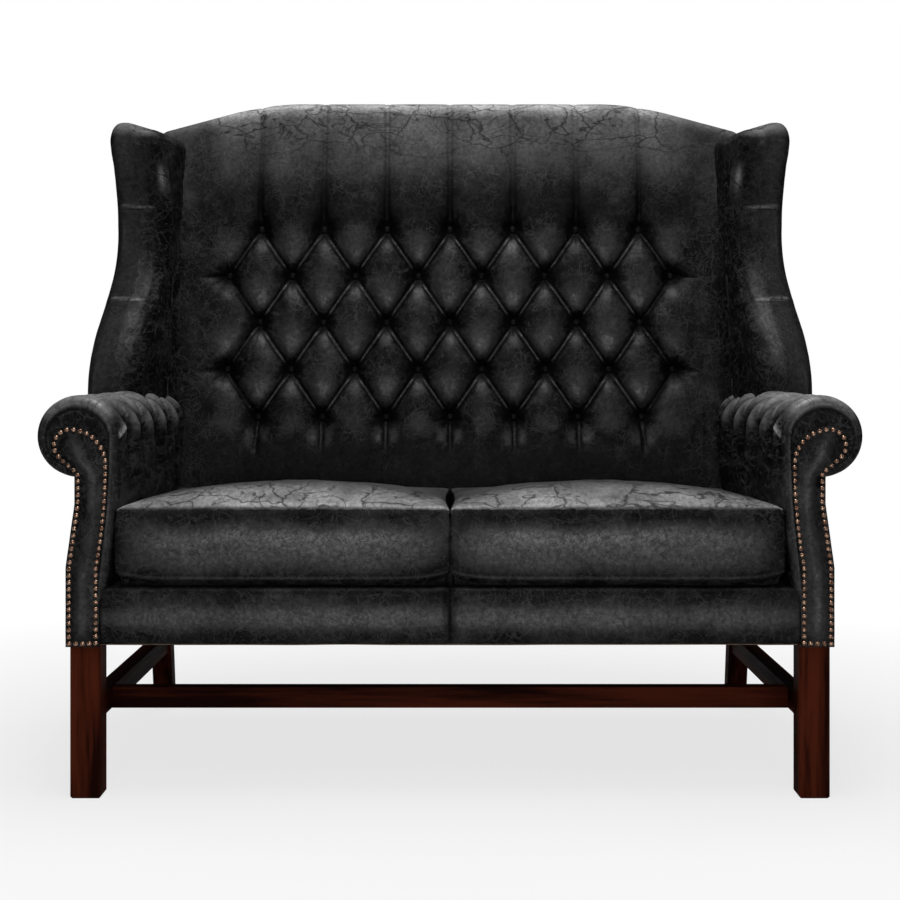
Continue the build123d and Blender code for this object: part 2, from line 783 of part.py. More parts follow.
def tufted_cover(cutters):
    """Quilted leather of the back with its filling: diamonds, and pleats above and below them."""
    body = back_slab(0, crest_end, back_foot, -back_board, crown_w)
    tops = body.faces().filter_by(lambda f: f.normal_at().Y > 0.5)

    def top_edges(w):
        return [e for f in tops for e in f.edges() if abs((e @ 0.5).Z - w) < 0.1]

    body = body.fillet(crest_front_round, top_edges(crown_w))
    tops = body.faces().filter_by(lambda f: f.normal_at().Y > 0.5)
    body = body.fillet(crest_rear_round, top_edges(-back_board))
    hollow = back_slab(crest_pad, crest_end + 1, -FAR / 10, -back_board - 1, webbing_thickness + back_foam)
    half_pitch = tuft_pitch / 2
    rise = hypot(half_pitch, tuft_row_pitch)
    ridge_pitch = tuft_pitch * tuft_row_pitch / rise
    diamonds = scallops((half_pitch, tuft_row_pitch), ridge_pitch, tuft_first_row, fold_w, crown_w)
    diamonds = diamonds & scallops(
        (-half_pitch, tuft_row_pitch), ridge_pitch, tuft_first_row, fold_w, crown_w
    )
    pleats = scallops((0, 1), tuft_pitch, 0, fold_w + pleat_lift, crown_w - pleat_drop)
    middle = block(-FAR, FAR, tuft_first_row, tuft_top_row, -FAR, FAR)
    quilt = (diamonds & middle) + (pleats - middle)
    cover = (body & quilt) - hollow
    depth = crown_w - fold_w + dimple_depth
    dimple = Cone(dimple_bottom, dimple_mouth, depth, align=UPWARDS)
    floor_w = fold_w - dimple_depth
    for u, v in button_places():
        cover = cover - Pos(u, v, floor_w) * dimple
    cover = back_plane * cover
    for cutter in cutters:
        cover = cover - cutter
    return cover.solids().sort_by(SortBy.VOLUME)[-1]


def back_buttons():
    floor_w = fold_w - dimple_depth
    low = Cylinder(button_radius, button_height / 2, align=UPWARDS)
    dome = Pos(0, 0, button_height / 2) * Cone(
        button_radius, button_radius / 2, button_height / 2, align=UPWARDS
    )
    one = (low + dome).solid()
    return group((back_plane * Pos(u, v, floor_w) * one).solid() for u, v in button_places())


def back_frame():
    """Posts, rails, slats and webbing that carry the back."""
    post_outer = stem_x - outside_panel - toe(frame_depth) - fit
    post_inner = post_outer - post_width
    post_top = crest_v - crest_end_drop - crest_pad - fit
    below_seat = block(-FAR, FAR, -FAR, FAR, -FAR, rail_top)
    post = back_plane * block(post_inner, post_outer, 0, post_top, -back_board, 0) - below_seat
    post = post.solid()

    def rail(v0, v1, half=post_inner):
        return back_plane * block(-half, half, v0, v1, -back_board, 0)

    bottom_top = bottom_rail_at + bottom_rail_height
    bottom = rail(bottom_rail_at, bottom_top)
    top_foot = crest_v - crest_pad - crest_end_drop - top_rail_height
    top = back_plane * back_slab(crest_pad + fit, post_inner, top_foot, -back_board, 0)
    slats = []
    for hand in (1, -1):
        for v0, v1 in ((bottom_top, mid_rail_at), (mid_rail_at + mid_rail_height, top_foot)):
            u0 = hand * slat_at - slat_width / 2
            slats.append(back_plane * block(u0, u0 + slat_width, v0, v1, -back_board, 0))
    middle = rail(mid_rail_at, mid_rail_at + mid_rail_height)
    straps = []
    for k in range(webbing_count):
        v0 = webbing_first + k * webbing_pitch
        strap = block(-post_outer, post_outer, v0, v0 + webbing_width, 0, webbing_thickness)
        straps.append(back_plane * strap)
    return post, bottom, middle, top, group(slats), group(straps), post_outer


def outside_back(half):
    face = -back_board - fit
    rear = face - outside_panel
    level_foot = -rear * tan(slope)         # keeps the panel's lower edge above the raked legs
    return back_plane * back_slab(outside_back_drop, half, level_foot, rear, face)


def back_padding(cutters):
    foam_front = webbing_thickness + back_foam - fit
    foam = back_plane * back_slab(crest_pad + fit, seat_half, back_foot, webbing_thickness, foam_front)
    for cutter in cutters:
        foam = foam - cutter
    return foam.solids().sort_by(SortBy.VOLUME)[-1]


# Wings


def wing_solid(inset, x_out, x_in, grow=0.0):
    """Right wing between two faces, its outline drawn in from the front and the top."""
    y = inset - grow
    top = wing_top - inset + grow
    rise = top - arm_height
    sweep_back = wing_waist_y - wing_foot_y
    ear = wing_waist_y - wing_ear_y
    front = [(wing_foot_y + y, arm_height)]
    for back, up in wing_sweep:
        front.append((wing_foot_y + back * sweep_back + y, arm_height + up * rise))
    out, up = wing_lean
    front.append((wing_waist_y - out * ear + y, arm_height + up * rise))
    front.append((wing_ear_y + y, top - wing_ear_fall * rise))
    front.append((wing_waist_y + wing_top_back * ear + y, top))
    points = [(x_in, depth, height) for depth, height in front]
    low = arm_height - 2 * roll_radius
    foot_front = (x_in, wing_foot_y + y, low)
    foot_back = (x_in, back_frame_y + arm_height, low)
    top_back = (x_in, back_frame_y + arm_height, top)
    edges = [
        line(foot_front, points[0]),
        Edge.make_spline(points, tangents=[(0, 0, 1), (0, 1, 0)]),
        line(points[-1], top_back),
        line(top_back, foot_back),
        line(foot_back, foot_front),
    ]
    return prism(edges, (x_out - x_in, 0, 0)), edges[:3]


def splayed(solid):
    axis = Axis((wing_back_x, wing_pivot_y, 0), (0, 0, 1))
    return solid.rotate(axis, wing_splay)


def wing_pieces(arm_cut):
    """Right wing: cover, foam and board."""
    x_out = wing_back_x
    x_in = wing_back_x - wing_thickness
    back_cut = behind_back(side_w)
    blank, front_edges = wing_solid(0, x_out, x_in)
    lengths = [e.length for e in front_edges]
    rounded = [
        e for e in blank.edges()
        if abs(e.bounding_box().size.X) < 0.01 and any(abs(e.length - size) < 0.01 for size in lengths)
    ]
    blank = blank.fillet(wing_round, rounded)

    def fitted(solid):
        return (splayed(solid) - back_cut - arm_cut).solids().sort_by(SortBy.VOLUME)[-1]

    cavity, _ = wing_solid(wing_front_cover, x_out - wing_cover, x_in + wing_cover)
    middle = (x_out + x_in) / 2
    board_blank, _ = wing_solid(wing_board_inset, middle + wing_board / 2, middle - wing_board / 2)
    board = fitted(board_blank)
    filling, _ = wing_solid(wing_front_cover + fit, x_out - wing_cover - fit, x_in + wing_cover + fit)
    cover = fitted(blank - cavity)
    foam = (fitted(filling) - board).solids()
    return cover, group(foam), board


def wing_space():
    """Room that the right wing takes, with its fit."""
    solid, _ = wing_solid(0, wing_back_x + fit, wing_back_x - wing_thickness - fit, grow=fit)
    return (splayed(solid) - behind_back(side_w - fit)).solids().sort_by(SortBy.VOLUME)[-1]


# Cushions


def cushion_section(y, share, inset):
    """Right cushion's outline at a depth; share runs from 0 at the front to 1 at the back."""
    bow = 4 * share * (1 - share)
    crown = cushion_front_crown + (cushion_crown - cushion_front_crown) * bow
    draw = cushion_draw * bow
    x0 = cushion_gap / 2 + draw + inset
    x1 = seat_half - 2 * fit - toe(y) - draw - inset
    z0 = cushion_bottom + inset
    z1 = cushion_edge - inset
    middle = (x0 + x1) / 2
    return Wire([
        line((x0, y, z0), (x1, y, z0)),
        line((x1, y, z0), (x1, y, z1)),
        arc((x1, y, z1), (middle, y, z1 + crown), (x0, y, z1)),
        line((x0, y, z1), (x0, y, z0)),
    ])


def cushion(inset):
    back_at_seat = y_of((cushion_bottom - leg_height) / cos(slope), crown_w)
    length = back_at_seat - cushion_back_gap - cushion_front_y
    sections = []
    for k in range(cushion_sections):
        share = k / (cushion_sections - 1)
        y = cushion_front_y + inset + share * (length - 2 * inset)
        sections.append(cushion_section(y, share, inset))
    return Solid.make_loft(sections)


def cushion_pieces():
    outer = cushion(0)
    cover = (outer - cushion(cushion_cover)).solid()
    return cover, cushion(cushion_cover + fit)


def build():
    """All pieces by name, before the origin is set."""
    pieces = {}

    def both(name, part):
        pieces[name + "_right"] = part
        pieces[name + "_left"] = mirrored(part)

    front_leg, rear_leg, side_stretcher, cross_stretcher, front_outer, rear_outer = base()
    front_rail, rear_rail, side_rail, mortises, front_half, rear_half, rear_rail_y = seat_frame(
        front_outer, rear_outer
    )
    front_leg = front_leg - mortises[0]
    rear_leg = rear_leg - mortises[1]
    both("front_leg", front_leg)
    both("rear_leg", rear_leg)
    both("side_stretcher", side_stretcher)
    pieces["cross_stretcher"] = cross_stretcher
    pieces["front_seat_rail"] = front_rail
    pieces["rear_seat_rail"] = rear_rail
    both("side_seat_rail", side_rail)
    pieces["corner_blocks"], pieces["corner_screws"] = corner_blocks(front_half, rear_half, rear_rail_y)
    pieces["seat_springs"], pieces["spring_clips"] = seat_springs(rear_rail_y)
    pieces["seat_deck"] = deck(rear_rail_y)
    pieces["dust_cover"] = dust_cover(front_outer, rear_outer, rear_rail_y)
    arm_cut = arm_space()
    both("front_border", (front_border(front_half) - arm_cut).solids().sort_by(SortBy.VOLUME)[-1])

    nails = facing_nail_line(leg_height - facing_drop + nail_edge)
    cover, foam, outside, stump, arm_rail, stuffing, arm_buttons = arm_pieces(nails)
    both("arm_cover", cover)
    both("arm_foam", foam)
    both("outside_arm", outside)
    both("arm_stump", stump)
    both("arm_rail", arm_rail)
    both("arm_stuffing_rail", stuffing)
    both("arm_buttons", arm_buttons)
    both("arm_facing", facing_panel(nails))
    both("facing_nails", facing_nails(nails))

    wing_cut = wing_space()
    cover, foam, board = wing_pieces(arm_cut)
    both("wing_cover", cover)
    both("wing_foam", foam)
    both("wing_board", board)

    cutters = [arm_cut, mirrored(arm_cut), wing_cut, mirrored(wing_cut)]
    post, bottom, middle, top, slats, straps, post_outer = back_frame()
    both("back_post", post)
    pieces["back_bottom_rail"] = bottom
    pieces["back_middle_rail"] = middle
    pieces["back_top_rail"] = top
    pieces["back_slats"] = slats
    pieces["back_webbing"] = straps
    pieces["back_foam"] = back_padding(cutters)
    pieces["back_cover"] = tufted_cover(cutters)
    pieces["back_buttons"] = back_buttons()
    pieces["outside_back"] = outside_back(post_outer + outside_panel)

    cover, core = cushion_pieces()
    both("cushion_cover", cover)
    both("cushion_core", core)
    return pieces


def main():
    os.makedirs("parts", exist_ok=True)
    pieces = build()
    boxes = [part.bounding_box() for part in pieces.values()]
    middle_y = (min(b.min.Y for b in boxes) + max(b.max.Y for b in boxes)) / 2
    for name, part in pieces.items():
        export_step(Pos(0, -middle_y, 0) * part, f"parts/{name}.step")
    print("pieces", len(pieces), "front plane at y", round(-middle_y, 2))


main()
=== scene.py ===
from math import atan2, cos, hypot, pi, radians, sin, sqrt, tan

import bmesh
import bpy
import numpy as np
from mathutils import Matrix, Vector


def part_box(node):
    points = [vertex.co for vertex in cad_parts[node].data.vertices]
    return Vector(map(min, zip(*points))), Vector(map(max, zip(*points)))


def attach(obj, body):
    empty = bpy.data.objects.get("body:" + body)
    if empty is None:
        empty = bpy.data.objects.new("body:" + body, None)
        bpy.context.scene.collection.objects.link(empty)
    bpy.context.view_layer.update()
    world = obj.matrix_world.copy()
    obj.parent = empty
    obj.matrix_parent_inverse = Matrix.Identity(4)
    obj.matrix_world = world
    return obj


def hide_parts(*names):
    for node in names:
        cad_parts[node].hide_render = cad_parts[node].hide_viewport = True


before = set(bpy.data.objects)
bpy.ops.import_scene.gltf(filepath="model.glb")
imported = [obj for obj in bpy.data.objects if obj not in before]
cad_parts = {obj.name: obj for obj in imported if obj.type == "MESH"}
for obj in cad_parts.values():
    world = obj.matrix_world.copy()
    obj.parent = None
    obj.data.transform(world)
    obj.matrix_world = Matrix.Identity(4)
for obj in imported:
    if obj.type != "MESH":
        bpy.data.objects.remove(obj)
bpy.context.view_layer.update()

# The sofa in metres: x across, y from the front plane backwards, z up from the floor.
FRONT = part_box("arm_facing_right")[0].y      # the front plane in the shared frame
COARSE = 1.0
WELD = 2e-5                                  # points closer than this become one
SLIVER = 1e-6                                # shorter edges are dropped
PANEL = 0.0022                               # thickness of an outside arm's leather
HANDS = ("right", "left")

# Back
RAKE = radians(9.5)
BACK_Y = 0.637                   # front of the back's frame at the rails' underside
BACK_Z = 0.242
BACK_FOOT = 0.0945               # up the slope, where the back meets the platform
CREST = 0.9599                   # up the slope, the top of the crest
CREST_FLAT = 0.290
CREST_BEND = 0.430
CREST_BEND_DROP = 0.019
CREST_END = 0.588
CREST_END_DROP = 0.063
CREST_ROUND = 0.040
CREST_SIDE_ROUND = 0.022
CREST_REAR_ROUND = 0.018
CREST_REAR_DROP = 0.014
CROWN = 0.108                    # tuft crowns in front of the frame
BOARD = 0.028                    # the frame's thickness
TUFT = 0.124
TUFT_ROW = 0.093
TUFT_FIRST = 0.328
TUFT_ROWS = 5
TUFT_COLUMNS = 7
TUFT_LAST = TUFT_FIRST + (TUFT_ROWS - 1) * TUFT_ROW
FOLD = 0.017                     # depth of the folds under the crowns
DIMPLE = 0.015                   # further down at a button
BUTTON = 0.009
BUTTON_RISE = 0.0062
BACK_MESH = 0.0021               # between the points of its leather
COVE = 0.048                     # hollow where the back runs into the wings

# Arms
SEAT_HALF = 0.523
ARM_TOP = 0.6345
ROLL = 0.0635
ROLL_X = SEAT_HALF + ROLL
ROLL_Z = ARM_TOP - ROLL
ARM_FOOT = 0.322
FOOT_SPREAD = 0.020
NECK_X = 0.590
STEM_X = 0.604
FLARE_TOP = 0.465
FLARE_LOW = 0.365
TOE = 0.014 / 0.665              # the sides draw in towards the back
POST_X = 0.590                   # outside of the leather drawn over the back post
POST_SIDE = 0.5866               # clear of the post's side, behind the wing
PLEAT = 0.115
PLEAT_FIRST = 0.105
PLEATS = 4
ARM_ROW = 0.088                  # round the roll, between its two rows of tufts
ARM_FOLD = 0.0085
ARM_BUTTON = 0.008
ARM_BUTTON_RISE = 0.0058
FRONT_ROUND = 0.012              # the roll's rounded front edge
ARM_PROUD = 0.0012               # that edge, in front of the facings
ARM_END = -0.030                 # the back's layer at which the arms end

# Platform
PLATFORM_FRONT = 0.0056          # its cloth drawn on to the border
PLATFORM_SIDE = 0.0186           # and under the arms' flare

# Facings, from the line of their nails
EYE_X = 0.597
EYE_R = 0.025
EYE_Z = 0.5565
SWEEP_R = 0.0555
SWEEP_Z = 0.526
NAIL_EDGE = 0.0055
FACING_FOOT = 0.240
FACING_DEEP = 0.0078             # thickness
FACING_TURN = radians(-50)
FOOT_IN = 0.5565
FOOT_OUT = 0.5985

# Wings
WING_X = 0.612
WING_PIVOT = 0.700
WING_SPLAY = radians(7)
WING_THICK = 0.093
WING_TOP = 1.141
WING_LOW = 0.585                 # its hidden foot, inside the arm
WING_REAR = 0.0002 - BOARD       # the back's layer at which it ends
WING_CREASES = (0.9775, 0.802)   # heights of the two creases in its front
WING_LIP = 0.014                 # rounding of the top's outer edge
WING_SLOPE = 0.018               # fall of the top towards the inside
WING_TURN = 0.020                # rounding of the top's inner edge
WING_REAR_FALL = 0.028           # fall of the top to the crest's end, at the rear
WING_TIGHT = 0.020               # front edge, outer corner
WING_BROAD = 0.045               # front edge, inner corner
WING_FRONT = (                   # front edge as (y, z)
    (0.362, 0.560), (0.362, 0.6345), (0.399, 0.726), (0.459, 0.7915), (0.518, 0.8675),
    (0.530, 0.964), (0.5085, 1.045), (0.487, 1.098), (0.5386, 1.141),
)


# Shapes


def ramp(a, b, x):
    """Smooth step from 0 at a to 1 at b."""
    t = np.clip((x - a) / (b - a), 0.0, 1.0)
    return t * t * (3.0 - 2.0 * t)


def bell(x, width):
    return np.exp(-((x / width) ** 2))


def ripple(x, y, seed):
    """Seeded smooth noise from -1 to 1 with one knot per unit."""
    size = 128
    table = np.random.default_rng(seed).uniform(-1, 1, (size, size))
    i = np.floor(x).astype(int)
    j = np.floor(y).astype(int)
    fx = ramp(0, 1, x - i)
    fy = ramp(0, 1, y - j)
    near = table[i % size, j % size] * (1 - fx) + table[(i + 1) % size, j % size] * fx
    far = table[i % size, (j + 1) % size] * (1 - fx) + table[(i + 1) % size, (j + 1) % size] * fx
    return near * (1 - fy) + far * fy


def steps(a, b, pitch):
    """Evenly spaced values from a to b, about a pitch apart."""
    count = max(2, int(round(abs(b - a) / (pitch * COARSE))) + 1)
    return np.linspace(a, b, count)


def stack(x, y, z):
    return np.stack(np.broadcast_arrays(x, y, z), axis=-1)


def toe(y):
    return TOE * y


def back_point(u, v, w):
    """Point of the back: u across, v up its slope, w in front of its frame."""
    y = FRONT + BACK_Y + v * sin(RAKE) - w * cos(RAKE)
    z = BACK_Z + v * cos(RAKE) + w * sin(RAKE)
    return stack(u, y, z)


def back_depth(z, w):
    """Depth behind the front plane of the back's layer w at a height."""
    return BACK_Y + (z - BACK_Z) * tan(RAKE) - w / cos(RAKE)


def crest_height(u):
    side = np.abs(u)
    span = CREST_BEND - CREST_FLAT
    bend = CREST_BEND_DROP * np.clip((side - CREST_FLAT) / span, 0, 1) ** 2
    slope = (CREST_END_DROP - CREST_BEND_DROP) / (CREST_END - CREST_BEND)
    return CREST - bend - slope * np.maximum(side - CREST_BEND, 0)


def mirrored(patches):
    return [(points * np.array([-1, 1, 1]), wear_and_painted_shading, rub_and_painted_highlight) for points, wear_and_painted_shading, rub_and_painted_highlight in patches]


def plain(points, wear_and_painted_shading=0.3):
    """Patch with one level of wear and painted shading all over, and no rub or painted highlight."""
    shape = points.shape[:2]
    return points, np.full(shape, wear_and_painted_shading), np.zeros(shape)


def walled(face, rear, wear_and_painted_shading=0.3):
    """Walls that join the four edges of a face to those of its rear."""
    edges = (np.s_[0], np.s_[-1], np.s_[:, 0], np.s_[:, -1])
    return [plain(np.stack([face[edge], rear[edge]]), wear_and_painted_shading) for edge in edges]


def rim_of(grid):
    """Values round a grid's four edges, as one line."""
    return np.concatenate([grid[0], grid[:, -1], grid[-1, ::-1], grid[::-1, 0]])


def make_piece(name, patches, material, nodes, body="frame"):
    """One smooth mesh from grids of points, standing for CAD nodes and riding on a body."""
    verts, faces, wear_and_painted_shading, rub_and_painted_highlight = [], [], [], []
    start = 0
    for points, worn_and_painted_shading, rubbed_and_highlit in patches:
        rows, cols = points.shape[:2]
        index = start + np.arange(rows * cols).reshape(rows, cols)
        quads = np.stack([index[:-1, :-1], index[:-1, 1:], index[1:, 1:], index[1:, :-1]], axis=-1)
        verts.append(points.reshape(-1, 3))
        faces.append(quads.reshape(-1, 4))
        wear_and_painted_shading.append(np.broadcast_to(worn_and_painted_shading, (rows, cols)).reshape(-1))
        rub_and_painted_highlight.append(np.broadcast_to(rubbed_and_highlit, (rows, cols)).reshape(-1))
        start += rows * cols
    mesh = bpy.data.meshes.new(name)
    mesh.from_pydata(np.concatenate(verts).tolist(), [], np.concatenate(faces).tolist())
    # The leather's colour reads these attributes: wear and rub, together with painted light and shade.
    for label, values in (("wear_and_painted_shading", wear_and_painted_shading), ("rub_and_painted_highlight", rub_and_painted_highlight)):
        layer = mesh.attributes.new(label, "FLOAT", "POINT")
        layer.data.foreach_set("value", np.concatenate(values).astype(np.float32))
    work = bmesh.new()
    work.from_mesh(mesh)
    bmesh.ops.remove_doubles(work, verts=work.verts, dist=WELD)
    bmesh.ops.dissolve_degenerate(work, edges=work.edges, dist=SLIVER)
    bmesh.ops.recalc_face_normals(work, faces=work.faces)
    work.to_mesh(mesh)
    work.free()
    mesh.polygons.foreach_set("use_smooth", [True] * len(mesh.polygons))
    mesh.materials.append(material)
    piece = bpy.data.objects.new(name, mesh)
    bpy.context.scene.collection.objects.link(piece)
    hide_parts(*nodes)
    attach(piece, body)
    return piece


def handed(patches, hand):
    return patches if hand == "right" else mirrored(patches)


def make_pair(name, patches, leather, node, rides=False):
    """Right and left padded pieces from the right one's patches, on the frame or on a cushion's body."""
    for hand in HANDS:
        body = f"{hand}_cushion" if rides else "frame"
        piece = make_piece(
            f"{name}_{hand}", handed(patches, hand), leather, [f"{node}_{hand}"], body
        )


# Materials


def shader(name, roughness=0.5):
    """New material with its node tree, its surface and the object's own coordinates."""
    material = bpy.data.materials.new(name)
    material.use_nodes = True
    tree = material.node_tree
    surface = tree.nodes["Principled BSDF"]
    surface.inputs["Roughness"].default_value = roughness
    return material, tree, surface, add(tree, "ShaderNodeTexCoord").outputs["Object"]


def add(tree, kind, sockets=None, **settings):
    """New node; sockets are given by name or number, as a value or as another node's output."""
    node = tree.nodes.new(kind)
    for key, value in settings.items():
        setattr(node, key, value)
    for key, value in (sockets or {}).items():
        if isinstance(value, bpy.types.NodeSocket):
            tree.links.new(value, node.inputs[key])
        else:
            node.inputs[key].default_value = value
    return node


def wire(tree, surface, outputs):
    """Outputs linked to the surface's sockets of the same name."""
    for name, output in outputs.items():
        tree.links.new(output, surface.inputs[name])


def maths(tree, operation, a, b=0.0, clamp=False):
    return add(tree, "ShaderNodeMath", {0: a, 1: b}, operation=operation, use_clamp=clamp).outputs[0]


def times(tree, value, *factors):
    for factor in factors:
        value = maths(tree, "MULTIPLY", value, factor)
    return value


def most(tree, value, *others):
    """The largest of the values."""
    for other in others:
        value = maths(tree, "MAXIMUM", value, other)
    return value


def scaled(tree, place, factors):
    return add(tree, "ShaderNodeVectorMath", {0: place, 1: factors}, operation="MULTIPLY").outputs[0]


def blend_colours(tree, factor, a, b):
    return add(tree, "ShaderNodeMix", {0: factor, 6: a, 7: b}, data_type="RGBA").outputs[2]


def spread(tree, value, low, high, to_low=0.0, to_high=1.0):
    """Value mapped from one range to another, held at both ends."""
    sockets = {"Value": value, "From Min": low, "From Max": high, "To Min": to_low, "To Max": to_high}
    return add(tree, "ShaderNodeMapRange", sockets).outputs[0]


def grain_noise(tree, place, scale, detail=4.0, roughness=0.55, output="Fac"):
    sockets = {"Vector": place, "Scale": scale, "Detail": detail, "Roughness": roughness}
    return add(tree, "ShaderNodeTexNoise", sockets).outputs[output]


def from_vein(tree, place, scale):
    """Distance from wandering lines."""
    sockets = {"Vector": place, "Scale": scale, "Detail": 2.5, "Roughness": 0.6, "Distortion": 1.1}
    field = add(tree, "ShaderNodeTexNoise", sockets).outputs["Fac"]
    return maths(tree, "ABSOLUTE", maths(tree, "SUBTRACT", field, 0.5))


def from_crack(tree, place, scale):
    """Distance from a branching network of lines."""
    drift = grain_noise(tree, place, scale * 0.8, 4.0, 0.65, "Color")
    sway = 0.9 / scale
    sockets = {0: drift, 1: (sway, sway, sway), 2: place}
    bent = add(tree, "ShaderNodeVectorMath", sockets, operation="MULTIPLY_ADD").outputs[0]
    cells = add(tree, "ShaderNodeTexVoronoi", {"Vector": bent, "Scale": scale}, feature="DISTANCE_TO_EDGE")
    return cells.outputs["Distance"]


def line_of(tree, distance, width):
    """1 on a line, 0 from its half width outwards."""
    return spread(tree, distance, 0.0, width, 1.0, 0.0)


def bumps(tree, height, strength, distance):
    sockets = {"Height": height, "Strength": strength, "Distance": distance}
    return add(tree, "ShaderNodeBump", sockets).outputs[0]


def grey(level):
    return (level, level, level, 1.0)


def leather_material(name, depth=1.0, rubbed_and_highlit_grey=0.22, vein_grey=0.036, rift=0.92):
    """Black leather with pale veins where dark and dark cracks where pale. Its colour follows two per-point
    attributes:
    the wear one holds wear together with painted highlights and painted shade, and the rub one, which greys
    the leather, holds rubbed tops together with painted top light and painted highlights.

    A depth below 1 draws the marks out from front to back, as on a seat.
    """
    material, tree, surface, object_place = shader(name, 0.36)
    place = scaled(tree, object_place, (1.0, depth, 1.0))
    wear_and_painted_shading = add(tree, "ShaderNodeAttribute", attribute_name="wear_and_painted_shading").outputs["Fac"]
    rub_and_painted_highlight = add(tree, "ShaderNodeAttribute", attribute_name="rub_and_painted_highlight").outputs["Fac"]
    patches = grain_noise(tree, place, 13.0, 4.0, 0.6)
    breaks = grain_noise(tree, place, 29.0, 3.0, 0.6)
    mottle = grain_noise(tree, place, 150.0, 2.0, 0.5)
    hairs = line_of(tree, from_vein(tree, place, 66.0), 0.030)
    crazing = line_of(tree, from_crack(tree, place, 74.0), 0.055)
    here = spread(tree, patches, 0.42, 0.58)
    broken = spread(tree, breaks, 0.36, 0.60, 0.15, 1.0)
    fine = most(tree, times(tree, crazing, here), hairs)
    veins = most(tree, line_of(tree, from_vein(tree, place, 31.0), 0.020), times(tree, fine, broken))
    cracks = times(tree, line_of(tree, from_crack(tree, place, 30.0), 0.040), broken)
    lines = most(tree, veins, cracks)
    long_place = scaled(tree, place, (0.55, 1.0, 1.0))
    rifts = most(
        tree, line_of(tree, from_vein(tree, long_place, 17.0), 0.016),
        line_of(tree, from_crack(tree, long_place, 15.0), 0.030),
    )
    furrows = most(tree, rifts, times(tree, veins, 0.55))

    worn_and_painted_shading = maths(tree, "ADD", wear_and_painted_shading, spread(tree, patches, 0.3, 0.7, -0.14, 0.14), clamp=True)
    shade = spread(tree, mottle, 0.3, 0.7, 0.7, 1.3)
    # Lighter where the wear attribute is high: wear together with painted highlights and painted shade.
    colour = blend_colours(tree, times(tree, worn_and_painted_shading, shade), grey(0.0012), grey(0.020))
    pale = times(
        tree, lines, spread(tree, worn_and_painted_shading, 0.1, 0.7, 0.85, 0.30), spread(tree, wear_and_painted_shading, -0.35, 0.08, 0.15, 1.0),
    )
    colour = blend_colours(tree, pale, colour, grey(vein_grey))
    # Grey where the rub attribute is high: rubbed tops together with painted top light and painted
    # highlights.
    rubbed_and_highlit = times(
        tree, rub_and_painted_highlight, spread(tree, mottle, 0.3, 0.65, 0.60, 1.0), spread(tree, patches, 0.36, 0.60, 0.62, 1.0),
    )
    colour = blend_colours(tree, rubbed_and_highlit, colour, grey(rubbed_and_highlit_grey))
    dark = times(tree, furrows, spread(tree, rub_and_painted_highlight, 0.02, 0.22))
    colour = blend_colours(tree, times(tree, dark, rift), colour, grey(0.006))

    crackle = most(tree, hairs, crazing, veins)
    crackle = most(tree, times(tree, crackle, spread(tree, rub_and_painted_highlight, 0.0, 0.25, 1.0, 0.35)), dark)
    shine = times(
        tree, spread(tree, worn_and_painted_shading, 0.0, 0.8, 0.10, 0.56), spread(tree, crackle, 0.0, 1.0, 1.0, 0.35),
        spread(tree, mottle, 0.3, 0.7, 0.70, 1.25), spread(tree, rub_and_painted_highlight, 0.0, 1.0, 1.0, 0.45),
    )
    pebbles = add(tree, "ShaderNodeTexVoronoi", {"Vector": place, "Scale": 620.0}, feature="F1")
    skin = times(tree, pebbles.outputs["Distance"], 0.12)
    height = maths(tree, "SUBTRACT", maths(tree, "ADD", mottle, skin), times(tree, lines, 0.22))
    wire(tree, surface, {
        "Base Color": colour, "Roughness": spread(tree, worn_and_painted_shading, 0.0, 0.8, 0.44, 0.34),
        "Specular IOR Level": shine, "Normal": bumps(tree, height, 0.40, 0.0008),
    })
    return material


def wood_material(name, along, light, dark, roughness, figure):
    """Polished or raw timber with its grain along an axis."""
    material, tree, surface, place = shader(name, roughness)
    fibre_place = scaled(tree, place, [9.0 if axis == along else 170.0 for axis in "xyz"])
    ring_place = scaled(tree, place, [2.2 if axis == along else 28.0 for axis in "xyz"])
    fibre = grain_noise(tree, fibre_place, 1.0, 5.0, 0.6)
    rings = grain_noise(tree, ring_place, 1.0, 3.0, 0.5)
    streak = maths(tree, "ADD", times(tree, rings, 0.65), times(tree, fibre, 0.35))
    half = 0.14 / figure
    colour = blend_colours(tree, spread(tree, streak, 0.5 - half, 0.5 + half), dark, light)
    pores = spread(tree, fibre, 0.30, 0.42, 0.45, 0.0)
    colour = blend_colours(tree, pores, colour, tuple(c * 0.35 for c in dark[:3]) + (1.0,))
    surface.inputs["Specular IOR Level"].default_value = 0.02
    rough = spread(tree, fibre, 0.3, 0.7, roughness - 0.08, roughness + 0.1)
    wire(tree, surface, {
        "Base Color": colour, "Roughness": rough, "Normal": bumps(tree, fibre, 0.25, 0.0006),
    })
    return material


def nail_material():
    """Antiqued nail heads: bronze, mottled pale and brown at random."""
    material, tree, surface, place = shader("antique_bronze", 0.34)
    stain = grain_noise(tree, place, 240.0, 4.0)
    share = spread(tree, stain, 0.38, 0.62)
    surface.inputs["Metallic"].default_value = 1.0
    wire(tree, surface, {
        "Base Color": blend_colours(tree, share, (0.10, 0.045, 0.026, 1), (0.50, 0.325, 0.235, 1)),
        "Roughness": spread(tree, stain, 0.3, 0.7, 0.34, 0.20), "Normal": bumps(tree, stain, 0.3, 0.0005),
    })
    return material


def steel_material():
    material, tree, surface, place = shader("zinc_steel", 0.4)
    bloom = grain_noise(tree, place, 90.0, 4.0)
    surface.inputs["Metallic"].default_value = 1.0
    wire(tree, surface, {
        "Base Color": blend_colours(tree, bloom, (0.28, 0.28, 0.27, 1), (0.55, 0.55, 0.54, 1)),
        "Roughness": spread(tree, bloom, 0.3, 0.7, 0.32, 0.5),
    })
    return material


